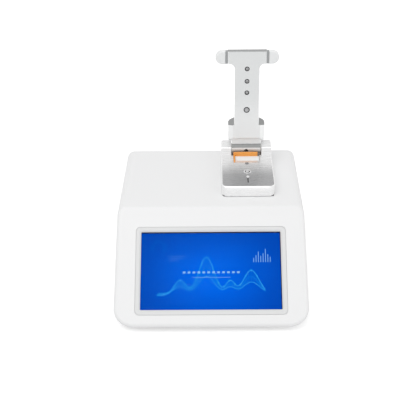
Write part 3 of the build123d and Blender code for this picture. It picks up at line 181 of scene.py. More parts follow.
class MetalSettings(PropertyGroup):
    """Colours of metal parts"""

    # The plinth's colours are painted light: a reflection bright near the hinge and darker at the front, and
    # upright faces painted lighter as if lit.
    plinth_reflection_bright: colour_property("Plinth, light", "Colour of the plinth near the hinge", (0.80, 0.80, 0.80))
    plinth_reflection_dark: colour_property("Plinth, dark", "Colour of the plinth at its front", (0.385, 0.385, 0.39))
    plinth_lit_sides: colour_property("Plinth, sides", "Colour of the plinth's upright faces", (0.93, 0.93, 0.93))
    # The arm's bright, side and shoulder colours are painted light: a white reflection near the hinge, lit
    # bevels and shaded upper edges. arm_dark is the metal's own tone.
    arm_reflection_bright: colour_property("Arm, light", "Colour of the arm near the hinge", (0.90, 0.905, 0.905))
    arm_lit_sides: colour_property("Arm, sides", "Colour of the arm's bevels and edges", (0.95, 0.955, 0.955))
    arm_shaded_shoulders: colour_property("Arm, shoulders", "Colour of the arm's upper edges", (0.30, 0.305, 0.305))
    arm_dark: colour_property("Arm, dark", "Colour of the arm's head", (0.63, 0.64, 0.64))
    steel: colour_property("Steel", "Colour of polished pins and rods", (0.60, 0.60, 0.61))
    screw: colour_property("Screws", "Colour of the darkened screws", (0.38, 0.38, 0.385))
    brass: colour_property("Brass", "Colour of bushes and contacts", (0.66, 0.47, 0.19))


class ScreenSettings(PropertyGroup):
    """Colours of the lit picture"""

    deep: colour_property("Deep blue", "Colour of the screen's corners", (0.0005, 0.072, 0.53))
    bright: colour_property("Bright blue", "Colour of the screen's middle", (0.0003, 0.145, 0.92))
    faint: colour_property("Faint line", "Colour of the rungs, faint curve and dial", (0.004, 0.235, 0.86))
    line: colour_property("Line", "Colour of the curves", (0.03, 0.40, 0.92))
    pale: colour_property("Pale", "Colour of bars and dots", (0.25, 0.56, 0.93))
    strength: level_property("Strength", "How strongly the screen glows", 1.0)


class StudioSettings(PropertyGroup):
    """Floor and lamps"""

    floor_size: FloatProperty(
        name="Floor size",
        description="Edge of the square floor",
        default=8.0,
        subtype="DISTANCE",
        unit="LENGTH",
    )
    ambient: level_property("Ambient", "Light from all round", 0.73)
    glow: level_property("Floor glow", "White that the camera sees in the floor", 0.42)
    key: level_property("Key", "Power of the large lamp above", 11.0, "POWER")
    fill: level_property("Fill", "Power of the front lamp", 3.6, "POWER")


def settings():
    """The scene's own settings."""
    return bpy.context.scene.spectro


def new_group(name, inputs, outputs):
    """A shader group with named inputs and outputs, and its two end nodes."""
    tree = bpy.data.node_groups.new(name, "ShaderNodeTree")
    for label, kind, value in inputs:
        tree.interface.new_socket(label, in_out="INPUT", socket_type=kind).default_value = value
    for label, kind in outputs:
        tree.interface.new_socket(label, in_out="OUTPUT", socket_type=kind)
    return tree, tree.nodes.new("NodeGroupInput").outputs, tree.nodes.new("NodeGroupOutput").inputs


def add(tree, kind, links=None, **values):
    """Adds a node: its settings by name, its inputs and links by socket name or index."""
    node = tree.nodes.new(kind)
    for key, value in values.items():
        setattr(node, key, value)
    for socket, source in (links or {}).items():
        if isinstance(source, bpy.types.NodeSocket):
            tree.links.new(source, node.inputs[socket])
        else:
            node.inputs[socket].default_value = source
    return node


def math_node(tree, operation, first, second):
    """One step of arithmetic, as its output."""
    return add(tree, "ShaderNodeMath", {0: first, 1: second}, operation=operation).outputs[0]


def vector_node(tree, operation, first, second):
    """One step of vector arithmetic, as its output."""
    node = add(tree, "ShaderNodeVectorMath", {0: first, 1: second}, operation=operation)
    return node.outputs["Value" if operation == "DOT_PRODUCT" else 0]


def scaled(tree, colour, factor):
    """A colour times a number."""
    return add(tree, "ShaderNodeVectorMath", {0: colour, 3: factor}, operation="SCALE").outputs[0]


def mix_colours(tree, share, first, second):
    """The colour that lies a share of the way from the first to the second."""
    return add(tree, "ShaderNodeMix", {0: share, 6: first, 7: second}, data_type="RGBA").outputs[2]


def grain_group():
    """Fine moulded or blasted grain, with a slow drift of tone."""
    inputs = [
        ("Colour", "NodeSocketColor", (0.8, 0.8, 0.8, 1)),
        ("Shade", "NodeSocketFloat", 0.97),
        ("Grain Scale", "NodeSocketFloat", 2500.0),
        ("Drift Scale", "NodeSocketFloat", 9.0),
        ("Roughness Low", "NodeSocketFloat", 0.4),
        ("Roughness High", "NodeSocketFloat", 0.5),
    ]
    outputs = [("Colour", "NodeSocketColor"), ("Roughness", "NodeSocketFloat"), ("Height", "NodeSocketFloat")]
    tree, entry, leave = new_group("fine_grain", inputs, outputs)
    place = add(tree, "ShaderNodeTexCoord").outputs["Object"]
    grain = add(tree, "ShaderNodeTexNoise", {"Vector": place, "Scale": entry["Grain Scale"]})
    drift = add(tree, "ShaderNodeTexNoise", {"Vector": place, "Scale": entry["Drift Scale"], "Detail": 3.0})
    dark = scaled(tree, entry["Colour"], entry["Shade"])
    tone = mix_colours(tree, drift.outputs[0], dark, entry["Colour"])
    rough = add(
        tree,
        "ShaderNodeMapRange",
        {"Value": drift.outputs[0], "To Min": entry["Roughness Low"], "To Max": entry["Roughness High"]},
    )
    tree.links.new(tone, leave["Colour"])
    tree.links.new(rough.outputs[0], leave["Roughness"])
    tree.links.new(grain.outputs[0], leave["Height"])
    return tree


def brushed_sheen_group():
    """Brushed metal with painted sheen: fine strokes, a main face whose tone runs along it as a painted
    reflection, and its own side and upper tones, painted lighter or darker as if lit or shaded.
    """
    inputs = [
        ("Start Colour", "NodeSocketColor", (0.8, 0.8, 0.8, 1)),
        ("End Colour", "NodeSocketColor", (0.6, 0.6, 0.6, 1)),
        ("Side Colour", "NodeSocketColor", (0.7, 0.7, 0.7, 1)),
        ("Upper Colour", "NodeSocketColor", (0.7, 0.7, 0.7, 1)),
        ("Face", "NodeSocketVector", (0, 0, 1)),
        ("Direction", "NodeSocketVector", (0, 0, 1)),
        ("Start", "NodeSocketFloat", 0.0),
        ("End", "NodeSocketFloat", 0.1),
        ("Stroke Stretch", "NodeSocketVector", (60, 3000, 3000)),
        ("Roughness Low", "NodeSocketFloat", 0.2),
        ("Roughness High", "NodeSocketFloat", 0.35),
    ]
    outputs = [
        ("Colour", "NodeSocketColor"),
        ("Along", "NodeSocketFloat"),
        ("Roughness", "NodeSocketFloat"),
        ("Height", "NodeSocketFloat"),
    ]
    tree, entry, leave = new_group("brushed_metal_and_painted_sheen", inputs, outputs)
    coordinates = add(tree, "ShaderNodeTexCoord").outputs
    place = coordinates["Object"]
    facing = vector_node(tree, "DOT_PRODUCT", coordinates["Normal"], entry["Face"])
    on_main = add(tree, "ShaderNodeMapRange", {"Value": facing, "From Min": 0.90, "From Max": 0.985})
    upward = add(tree, "ShaderNodeSeparateXYZ", {0: coordinates["Normal"]}).outputs["Z"]
    on_upper = add(tree, "ShaderNodeMapRange", {"Value": upward, "From Min": 0.15, "From Max": 0.45})
    reach = vector_node(tree, "DOT_PRODUCT", place, entry["Direction"])
    along = add(
        tree,
        "ShaderNodeMapRange",
        {"Value": reach, "From Min": entry["Start"], "From Max": entry["End"]},
        interpolation_type="SMOOTHSTEP",
    )
    stretched = vector_node(tree, "MULTIPLY", place, entry["Stroke Stretch"])
    strokes = add(tree, "ShaderNodeTexNoise", {"Vector": stretched, "Scale": 1.0, "Detail": 2.0})
    # Painted sheen: the main face's tone runs from start to end as a painted reflection, and side and upper
    # faces get their own painted lit or shaded tones.
    tone = mix_colours(tree, along.outputs[0], entry["Start Colour"], entry["End Colour"])
    edges = mix_colours(tree, on_upper.outputs[0], entry["Side Colour"], entry["Upper Colour"])
    whole = mix_colours(tree, on_main.outputs[0], edges, tone)
    fleck = add(tree, "ShaderNodeMapRange", {"Value": strokes.outputs[0], "To Min": 0.975, "To Max": 1.02})
    marked = scaled(tree, whole, fleck.outputs[0])
    rough = add(
        tree,
        "ShaderNodeMapRange",
        {"Value": strokes.outputs[0], "To Min": entry["Roughness Low"], "To Max": entry["Roughness High"]},
    )
    tree.links.new(marked, leave["Colour"])
    tree.links.new(along.outputs[0], leave["Along"])
    tree.links.new(rough.outputs[0], leave["Roughness"])
    tree.links.new(strokes.outputs[0], leave["Height"])
    return tree


def new_material(name):
    """A material with its tree and its Principled shader."""
    material = bpy.data.materials.new(name)
    material.use_nodes = True
    return material, material.node_tree, material.node_tree.nodes["Principled BSDF"]


def lit_material(name):
    """A black material that only glows."""
    material, tree, shader = new_material(name)
    shader.inputs["Base Color"].default_value = (0, 0, 0, 1)
    shader.inputs["Specular IOR Level"].default_value = 0.0
    shader.inputs["Emission Strength"].default_value = settings().screen.strength
    return material, tree, shader


def use_group(tree, name, values):
    """Places a shader group with its own values, and gives its outputs."""
    node = tree.nodes.new("ShaderNodeGroup")
    node.node_tree = bpy.data.node_groups[name]
    for label, value in values.items():
        node.inputs[label].default_value = value
    return node.outputs


def connect(tree, effect, shader, bump):
    """Feeds a group's colour, roughness and height to the shader."""
    relief = add(tree, "ShaderNodeBump", {"Strength": bump, "Distance": 0.0001, "Height": effect["Height"]})
    tree.links.new(effect["Colour"], shader.inputs["Base Color"])
    tree.links.new(effect["Roughness"], shader.inputs["Roughness"])
    tree.links.new(relief.outputs["Normal"], shader.inputs["Normal"])


def grained(name, colour, roughness, metallic=0.0, shade=0.97, grain=2500.0, bump=0.02, drift=9.0):
    """A material whose tone, roughness and bump come from the fine grain."""
    material, tree, shader = new_material(name)
    values = {
        "Colour": (*colour, 1),
        "Shade": shade,
        "Grain Scale": grain,
        "Drift Scale": drift,
        "Roughness Low": roughness * 0.88,
        "Roughness High": roughness * 1.12,
    }
    connect(tree, use_group(tree, "fine_grain", values), shader, bump)
    shader.inputs["Metallic"].default_value = metallic
    return material


def brushed_with_sheen(name, tones, face, direction, start, end, rough, metallic=(1.0, 1.0)):
    """Brushed metal with painted sheen: tones are the main face's start and end, the sides and the upper
    edges, painted as reflection, light and shade.
    """
    material, tree, shader = new_material(name)
    values = {
        "Start Colour": (*tones[0], 1),
        "End Colour": (*tones[1], 1),
        "Side Colour": (*tones[2], 1),
        "Upper Colour": (*tones[3], 1),
        "Face": face,
        "Direction": direction,
        "Start": start,
        "End": end,
        "Roughness Low": rough[0],
        "Roughness High": rough[1],
    }
    effect = use_group(tree, "brushed_metal_and_painted_sheen", values)
    connect(tree, effect, shader, 0.05)
    level = add(
        tree, "ShaderNodeMapRange", {"Value": effect["Along"], "To Min": metallic[0], "To Max": metallic[1]}
    )
    tree.links.new(level.outputs[0], shader.inputs["Metallic"])
    return material


def dress(material, *nodes):
    """Gives CAD nodes a material."""
    for name in nodes:
        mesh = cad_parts[name].data
        mesh.materials.clear()
        mesh.materials.append(material)


def new_mesh(name, points, faces, *materials):
    """A mesh from points and faces, with its materials in order."""
    mesh = bpy.data.meshes.new(name)
    mesh.from_pydata(points, [], faces)
    for material in materials:
        mesh.materials.append(material)
    return mesh


def soften(piece, width):
    """Rounds a piece's edges."""
    bevel = piece.modifiers.new("Edges", "BEVEL")
    bevel.width = width * MM
    bevel.segments = 2


def link_piece(name, mesh, body):
    """Adds a piece that rides on a body."""
    piece = bpy.data.objects.new(name, mesh)
    bpy.context.scene.collection.objects.link(piece)
    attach(piece, body)
    return piece


def on_face(u, v, depth=0.0):
    """A point of the screen from millimetres across and up it, and towards the viewer."""
    return SCREEN_CENTRE + Vector((u * MM, 0, 0)) + FACE_UP * (v * MM) + FACE_NORMAL * (depth * MM)


def on_arm(x, along, out):
    """A point of the arm from millimetres across, along and out of its underside."""
    return HINGE + Vector((x * MM, 0, 0)) + ARM_ALONG * (along * MM) + ARM_OUT * (out * MM)


def geometry_tree(name, inputs):
    """A geometry tree with its points in, named inputs, and its two end nodes."""
    tree = bpy.data.node_groups.new(name, "GeometryNodeTree")
    tree.interface.new_socket("Points", in_out="INPUT", socket_type="NodeSocketGeometry")
    for label, kind, value in inputs:
        socket = tree.interface.new_socket(label, in_out="INPUT", socket_type=kind)
        if value is not None:
            socket.default_value = value
    tree.interface.new_socket("Geometry", in_out="OUTPUT", socket_type="NodeSocketGeometry")
    return tree, tree.nodes.new("NodeGroupInput").outputs, tree.nodes.new("NodeGroupOutput").inputs


def close_tree(tree, entry, leave, shape):
    """Puts a shape on every point, realises it and sets its material."""
    spread = add(
        tree,
        "GeometryNodeInstanceOnPoints",
        {"Points": entry["Points"], "Instance": shape, "Rotation": entry["Turn"]},
    )
    real = add(tree, "GeometryNodeRealizeInstances", {0: spread.outputs[0]})
    coat = add(tree, "GeometryNodeSetMaterial", {"Geometry": real.outputs[0], "Material": entry["Material"]})
    tree.links.new(coat.outputs[0], leave[0])


def moved(tree, shape, height):
    """A shape moved along Z by a socket's value."""
    lift = add(tree, "ShaderNodeCombineXYZ", {"Z": height})
    return add(tree, "GeometryNodeTransform", {0: shape, "Translation": lift.outputs[0]}).outputs[0]


def screw_tree():
    """Socket screws: a head with a chamfered rim and a hexagonal socket, and a plain shank."""
    floats = [
        ("Head Radius", 0.002),
        ("Head Height", 0.0015),
        ("Shank Radius", 0.001),
        ("Shank Length", 0.005),
        ("Socket Radius", 0.001),
        ("Socket Depth", 0.001),
    ]
    inputs = [(label, "NodeSocketFloat", value) for label, value in floats]
    inputs += [("Turn", "NodeSocketVector", (0, 0, 0)), ("Material", "NodeSocketMaterial", None)]
    tree, entry, leave = geometry_tree("socket_screws", inputs)
    rim = math_node(tree, "MULTIPLY", entry["Head Height"], 0.25)
    drum_height = math_node(tree, "SUBTRACT", entry["Head Height"], rim)
    drum = add(
        tree,
        "GeometryNodeMeshCylinder",
        {"Vertices": 32, "Radius": entry["Head Radius"], "Depth": drum_height},
    )
    drum_up = moved(tree, drum.outputs[0], math_node(tree, "MULTIPLY", drum_height, 0.5))
    top_radius = math_node(tree, "SUBTRACT", entry["Head Radius"], rim)
    cone = add(
        tree,
        "GeometryNodeMeshCone",
        {"Vertices": 32, "Radius Top": top_radius, "Radius Bottom": entry["Head Radius"], "Depth": rim},
    )
    head = add(tree, "GeometryNodeMeshBoolean", operation="UNION")
    tree.links.new(drum_up, head.inputs["Mesh 2"])
    tree.links.new(moved(tree, cone.outputs[0], drum_height), head.inputs["Mesh 2"])
    double_depth = math_node(tree, "MULTIPLY", entry["Socket Depth"], 2.0)
    key = add(
        tree,
        "GeometryNodeMeshCylinder",
        {"Vertices": 6, "Radius": entry["Socket Radius"], "Depth": double_depth},
    )
    cut = add(tree, "GeometryNodeMeshBoolean", operation="DIFFERENCE")
    tree.links.new(head.outputs[0], cut.inputs["Mesh 1"])
    tree.links.new(moved(tree, key.outputs[0], entry["Head Height"]), cut.inputs["Mesh 2"])
    shank = add(
        tree,
        "GeometryNodeMeshCylinder",
        {"Vertices": 20, "Radius": entry["Shank Radius"], "Depth": entry["Shank Length"]},
    )
    shank_down = moved(tree, shank.outputs[0], math_node(tree, "MULTIPLY", entry["Shank Length"], -0.5))
    both = add(tree, "GeometryNodeJoinGeometry")
    tree.links.new(cut.outputs[0], both.inputs[0])
    tree.links.new(shank_down, both.inputs[0])
    close_tree(tree, entry, leave, both.outputs[0])
    return tree


def ring_tree():
    """Round rings, one about each point, used for the arm's dark rings of painted shade."""
    inputs = [
        ("Ring Radius", "NodeSocketFloat", 0.003),
        ("Tube Radius", "NodeSocketFloat", 0.0003),
        ("Turn", "NodeSocketVector", (0, 0, 0)),
        ("Material", "NodeSocketMaterial", None),
    ]
    tree, entry, leave = geometry_tree("painted_shade_rings", inputs)
    path = add(tree, "GeometryNodeCurvePrimitiveCircle", {"Resolution": 40, "Radius": entry["Ring Radius"]})
    section = add(
        tree, "GeometryNodeCurvePrimitiveCircle", {"Resolution": 10, "Radius": entry["Tube Radius"]}
    )
    tube = add(
        tree, "GeometryNodeCurveToMesh", {"Curve": path.outputs[0], "Profile Curve": section.outputs[0]}
    )
    close_tree(tree, entry, leave, tube.outputs[0])
    return tree


def contact_tree():
    """A row of flat contacts at each point."""
    inputs = [
        ("Count", "NodeSocketInt", 4),
        ("Pitch", "NodeSocketFloat", 0.0024),
        ("Contact Size", "NodeSocketVector", (0.001, 0.006, 0.0002)),
        ("Turn", "NodeSocketVector", (0, 0, 0)),
        ("Material", "NodeSocketMaterial", None),
    ]
    tree, entry, leave = geometry_tree("contact_rows", inputs)
    step = add(tree, "ShaderNodeCombineXYZ", {"X": entry["Pitch"]})
    gaps = math_node(tree, "SUBTRACT", entry["Count"], 1.0)
    reach = math_node(tree, "MULTIPLY", math_node(tree, "MULTIPLY", gaps, entry["Pitch"]), -0.5)
    start = add(tree, "ShaderNodeCombineXYZ", {"X": reach})
    row = add(
        tree,
        "GeometryNodeMeshLine",
        {"Count": entry["Count"], "Start Location": start.outputs[0], "Offset": step.outputs[0]},
    )
    pad = add(tree, "GeometryNodeMeshCube", {"Size": entry["Contact Size"]})
    pads = add(tree, "GeometryNodeInstanceOnPoints", {"Points": row.outputs[0], "Instance": pad.outputs[0]})
    close_tree(tree, entry, leave, pads.outputs[0])
    return tree


def grow(name, tree_name, points, values, body):
    """Runs a geometry tree on some points and keeps the result as a plain piece."""
    seed = bpy.data.meshes.new(name + "_points")
    seed.from_pydata([tuple(p) for p in points], [], [])
    carrier = bpy.data.objects.new(name + "_points", seed)
    bpy.context.scene.collection.objects.link(carrier)
    modifier = carrier.modifiers.new("Geometry", "NODES")
    tree = bpy.data.node_groups[tree_name]
    modifier.node_group = tree
    sockets = {item.name: item.identifier for item in tree.interface.items_tree if item.in_out == "INPUT"}
    for label, value in values.items():
        modifier[sockets[label]] = value
    shape = bpy.data.meshes.new_from_object(carrier.evaluated_get(bpy.context.evaluated_depsgraph_get()))
    bpy.data.objects.remove(carrier)
    shape.name = name
    if len(shape.polygons) == 0:
        raise RuntimeError(name + " came out empty")
    return link_piece(name, shape, body)


def screws(name, points, sizes, turn, material, body):
    """Socket screws whose heads stand on the points."""
    labels = ("Head Radius", "Head Height", "Shank Radius", "Shank Length", "Socket Radius", "Socket Depth")
    values = {label: size * MM for label, size in zip(labels, sizes)}
    values.update({"Turn": turn, "Material": material})
    return grow(name, "socket_screws", points, values, body)


class SPECTRO_OT_housing(Operator):
    """Moulded housing, base plate, feet and the seal under the plinth"""

    bl_idname = "spectro.housing"
    bl_label = "Housing"

    def execute(self, context):
        plastic = settings().plastic
        dress(grained("housing_white", plastic.housing, 0.42, shade=0.985, bump=0.03), "top_shell")
        dress(grained("base_grey", plastic.base, 0.6, bump=0.08), "base_plate")
        dress(grained("rubber_black", plastic.rubber, 0.75, shade=0.8), "rubber_feet", "plinth_gasket")
        return {"FINISHED"}


class SPECTRO_OT_display(Operator):
    """Bezel, glass and the lit picture behind it"""

    bl_idname = "spectro.display"
    bl_label = "Display"

    def execute(self, context):
        plastic = settings().plastic
        dress(grained("bezel_grey", plastic.bezel, 0.45, shade=0.98), "display_bezel")
        glass, tree, shader = new_material("cover_glass")
        shader.inputs["Transmission Weight"].default_value = 1.0
        shader.inputs["IOR"].default_value = 1.08
        shader.inputs["Roughness"].default_value = 0.01
        place = add(tree, "ShaderNodeTexCoord").outputs["Object"]
        smear = add(tree, "ShaderNodeTexNoise", {"Vector": place, "Scale": 40.0})
        relief = add(
            tree, "ShaderNodeBump", {"Strength": 0.01, "Distance": 0.0001, "Height": smear.outputs[0]}
        )
        tree.links.new(relief.outputs["Normal"], shader.inputs["Normal"])
        dress(glass, "touch_glass")
        dress(grained("display_black", (0.003, 0.003, 0.004), 0.5), "lcd_module")
        self.picture()
        self.artwork()
        return {"FINISHED"}

    def glowing(self, name, colour):
        """A lit colour with the faint unevenness of a backlight."""
        material, tree, shader = lit_material(name)
        values = {"Colour": (*colour, 1), "Shade": 0.94, "Drift Scale": 25.0, "Grain Scale": 900.0}
        tree.links.new(use_group(tree, "fine_grain", values)["Colour"], shader.inputs["Emission Color"])
        return material

    def picture(self):
        """The blue ground: brighter in the middle, deeper towards the corners."""
        screen = settings().screen
        material, tree, shader = lit_material("lit_screen")
        where = add(tree, "ShaderNodeUVMap", uv_map="screen").outputs[0]
        offset = vector_node(tree, "SUBTRACT", where, GLOW_CENTRE)
        shaped = vector_node(tree, "MULTIPLY", offset, GLOW_STRETCH)
        far = add(tree, "ShaderNodeVectorMath", {0: shaped}, operation="LENGTH").outputs["Value"]
        cloud = add(tree, "ShaderNodeTexNoise", {"Vector": where, "Scale": 3.0, "Detail": 3.0})
        haze = math_node(tree, "MULTIPLY", cloud.outputs[0], GLOW_HAZE)
        fade = add(
            tree,
            "ShaderNodeMapRange",
            {"Value": math_node(tree, "ADD", far, haze), "From Min": GLOW_NEAR, "From Max": GLOW_FAR},
            interpolation_type="SMOOTHSTEP",
        )
        blue = mix_colours(tree, fade.outputs[0], (*screen.bright, 1), (*screen.deep, 1))
        tree.links.new(blue, shader.inputs["Emission Color"])
        columns, rows = PICTURE_COLUMNS, PICTURE_ROWS
        grid = [(column / columns, row / rows) for row in range(rows + 1) for column in range(columns + 1)]
        wide, high = PICTURE_RIGHT - PICTURE_LEFT, PICTURE_HIGH - PICTURE_LOW
        points = [on_face(PICTURE_LEFT + wide * s, PICTURE_LOW + high * t, PICTURE_DEPTH) for s, t in grid]
        faces = []
        for row in range(rows):
            for column in range(columns):
                a = row * (columns + 1) + column
                faces.append((a, a + 1, a + columns + 2, a + columns + 1))
        mesh = new_mesh("screen_picture", points, faces, material)
        layer = mesh.uv_layers.new(name="screen")
        for loop in mesh.loops:
            layer.data[loop.index].uv = grid[loop.vertex_index]
        link_piece("screen_picture", mesh, "base")

    def artwork(self):
        """A made-up absorbance chart: curves with rungs under them, bars, a dial and dotted rows."""
        screen = settings().screen
        points, faces, tones = [], [], []

        def polygon(outline, tone, depth):
            """One flat face."""
            first = len(points)
            points.extend(on_face(u, v, depth) for u, v in outline)
            faces.append(tuple(range(first, first + len(outline))))
            tones.append(tone)

        def ribbon(path, width, tone, depth):
            """A stroke along a path, one face to a step."""
            for (u0, v0), (u1, v1) in zip(path, path[1:]):
                length = math.hypot(u1 - u0, v1 - v0)
                du, dv = -(v1 - v0) / length * width / 2, (u1 - u0) / length * width / 2
                near, far = [(u0 - du, v0 - dv), (u1 - du, v1 - dv)], [(u1 + du, v1 + dv), (u0 + du, v0 + dv)]
                polygon(near + far, tone, depth)

        def dot(u, v, radius, tone, depth):
            """A round spot."""
            turns = [i * math.pi / 6 for i in range(12)]
            polygon([(u + radius * math.cos(a), v + radius * math.sin(a)) for a in turns], tone, depth)

        def chart(u):
            """Height of the main curve."""
            humps = (high * math.exp(-(((u - middle) / width) ** 2)) for middle, width, high in CHART_HUMPS)
            return sum(humps, CHART_GROUND)

        places = [CHART_START + CHART_STEP * i for i in range(CHART_STEPS)]
        track = [(u, chart(u)) for u in places]
        ribbon(track, 0.9, LINE, CHART_DEPTH)
        ribbon([(u, v * 0.72 - 7.0) for u, v in track], 0.7, FAINT, FAINT_DEPTH)
        ribbon([(u, v * 0.45 - 13.0) for u, v in track], 0.7, LINE, FAINT_DEPTH)
        for u, v in track[::2]:
            ribbon([(u, v - 1.2), (u, min(v - 2.0, v * 0.45 - 12.5))], 0.5, FAINT, RUNG_DEPTH)
        for u, v in track[::4]:
            dot(u, v, 1.0, LINE, DOT_DEPTH)
        # Bars at the right, dotted rows at the left
        for index, high in enumerate(BAR_HEIGHTS):
            ribbon([(47 + 2.6 * index, 9), (47 + 2.6 * index, 9 + high)], 0.7, PALE, CHART_DEPTH)
        for row in range(3):
            for column in range(9 - 2 * row):
                dot(-46 + 2.2 * column, 16 - 2.4 * row, 0.38, PALE, CHART_DEPTH)
        # Two rows of dashes in place of words, and the dial
        for index in range(12):
            ribbon([(-31 + 5.4 * index, -2.0), (-28 + 5.4 * index, -2.0)], 2.2, PALE, LABEL_DEPTH)
        for index in range(20):
            ribbon([(-20 + 2.1 * index, -7.6), (-18.8 + 2.1 * index, -7.6)], 0.6, PALE, LABEL_DEPTH)
        turns = [math.radians(a) for a in range(-40, 221, 13)]
        ribbon([(-58 + 7 * math.cos(a), 26 + 7 * math.sin(a)) for a in turns], 0.5, FAINT, FAINT_DEPTH)
        inks = (("chart_faint", screen.faint), ("chart_line", screen.line), ("chart_pale", screen.pale))
        mesh = new_mesh("screen_artwork", points, faces, *(self.glowing(*ink) for ink in inks))
        mesh.polygons.foreach_set("material_index", tones)
        link_piece("screen_artwork", mesh, "base")


class SPECTRO_OT_plinth(Operator):
    """Plinth, pedestals, guard, hinge and the stop screw"""

    bl_idname = "spectro.plinth"
    bl_label = "Plinth and hinge"

    def execute(self, context):
        metal = settings().metal
        plastic = settings().plastic
        rear = PLINTH_HIGH.y - PLINTH_REFLECTION_BRIGHT_INSET * MM
        front = PLINTH_LOW.y + PLINTH_REFLECTION_DARK_INSET * MM
        # Painted reflection along the plinth's top, painted lit tones on its upright and sloping faces, and
        # less metal near the hinge so that it reads white.
        tones = (metal.plinth_reflection_bright, metal.plinth_reflection_dark, metal.plinth_lit_sides, (0.90, 0.90, 0.90))
        rough, metallic = (0.22, 0.34), (0.35, 0.9)
        plinth = brushed_with_sheen("plinth_aluminium_painted_sheen", tones, UP, FORWARD, -rear, -front, rough, metallic)
        dress(plinth, "plinth")
        self.strip()
        self.paint_groove_light()
        polished = grained("polished_steel", metal.steel, 0.14, metallic=1.0)
        dress(polished, "hinge_pins", "guide_rods", "lead_screw")
        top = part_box("lower_pedestal")[1].z
        dark, light = (0.05, 0.05, 0.052), (0.92, 0.92, 0.92)
        tones, span = (dark, light, light, light), (top - 0.9 * MM, top - 0.3 * MM)
        column = brushed_with_sheen("pedestal_steel", tones, UP, UP, *span, (0.12, 0.2), (0.8, 0.5))
        dress(column, "lower_pedestal")
        dress(grained("pedestal_rim", (0.88, 0.88, 0.88), 0.22, metallic=0.6), "pedestal_bush")
        grey = grained("pedestal_grey", (0.42, 0.42, 0.425), 0.2, metallic=0.5)
        dress(grey, "upper_pedestal", "arm_magnet")
        dress(grained("stop_steel", (0.34, 0.34, 0.35), 0.3, metallic=0.9), "rest_screw")
        bronze = grained("bush_bronze", metal.brass, 0.3, metallic=1.0)
        dress(bronze, "hinge_bushes", "lift_nut", "board_standoffs")
        dress(grained("washer_nylon", (0.62, 0.62, 0.60), 0.5), "hinge_washers")
        dress(grained("guard_orange", plastic.guard, 0.45, shade=0.95, bump=0.04), "cable_guard")
        return {"FINISHED"}

    def strip(self):
        """White strip that covers the slot in front of the orange guard: its white is a painted highlight for
        the slot's lit front ledge, and its cool tint offsets the guard's orange bounce light.
        """
        low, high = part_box("cable_guard")
        front, rear = HINGE.y - STRIP_FRONT * MM, HINGE.y - STRIP_REAR * MM
        left, right = low.x + STRIP_LEFT * MM, high.x + STRIP_RIGHT * MM
        floor = PLINTH_LOW.z + STRIP_FLOOR * MM
        heights = (front, floor + STRIP_FRONT_HEIGHT * MM), (rear, floor + STRIP_REAR_HEIGHT * MM)
        points = [Vector((x, y, z)) for x in (left, right) for y, top in heights for z in (floor, top)]
        faces = [(0, 1, 3, 2), (4, 6, 7, 5), (0, 4, 5, 1), (2, 3, 7, 6), (1, 5, 7, 3), (0, 2, 6, 4)]
        # Painted highlight, tinted cool to offset the orange guard's bounce light.
        material = grained("strip_painted_highlight", (0.85, 0.89, 0.91), 0.45, bump=0.04)
        mesh = new_mesh("slot_strip", points, faces, material)
        soften(link_piece("slot_strip", mesh, "base"), 0.25)

    def paint_groove_light(self):
        """Dark line and bright dot in the groove in front of the pedestal: painted shade along the groove and
        a painted highlight at its eye.
        """
        x, top = HINGE.x, PLINTH_LOW.z + PLINTH_TOP * MM
        front, eye = PLINTH_LOW.y + GROOVE_FRONT * MM, PLINTH_LOW.y + GROOVE_EYE * MM
        half, level = GROOVE_HALF * MM, top - GROOVE_DEPTH * MM
        corners = ((-half, front), (half, front), (half, eye), (-half, eye))
        points = [(x + side, y, level) for side, y in corners]
        faces = [tuple(range(len(corners)))]
        for radius, rise in EYE_RINGS:
            for step in range(EYE_STEPS):
                angle = 2 * math.pi * step / EYE_STEPS
                across, along = radius * MM * math.cos(angle), radius * MM * math.sin(angle)
                points.append((x + across, eye + along, top + rise * MM))
        for ring in range(len(EYE_RINGS) - 1):
            first = len(corners) + ring * EYE_STEPS
            for step in range(EYE_STEPS):
                a, b = first + step, first + (step + 1) % EYE_STEPS
                faces.append((a, b, b + EYE_STEPS, a + EYE_STEPS))
        faces.append(tuple(range(len(points) - EYE_STEPS, len(points))))
        # Near black for the painted shade in the groove, near white for the painted highlight at its eye.
        dark = grained("groove_painted_shade", (0.05, 0.05, 0.055), 0.5)
        light = grained("eye_painted_highlight", (0.93, 0.93, 0.93), 0.35)
        mesh = new_mesh("groove_shade_and_highlight", points, faces, dark, light)
        mesh.polygons.foreach_set("material_index", [0] + [1] * (len(faces) - 1))
        link_piece("groove_shade_and_highlight", mesh, "base")


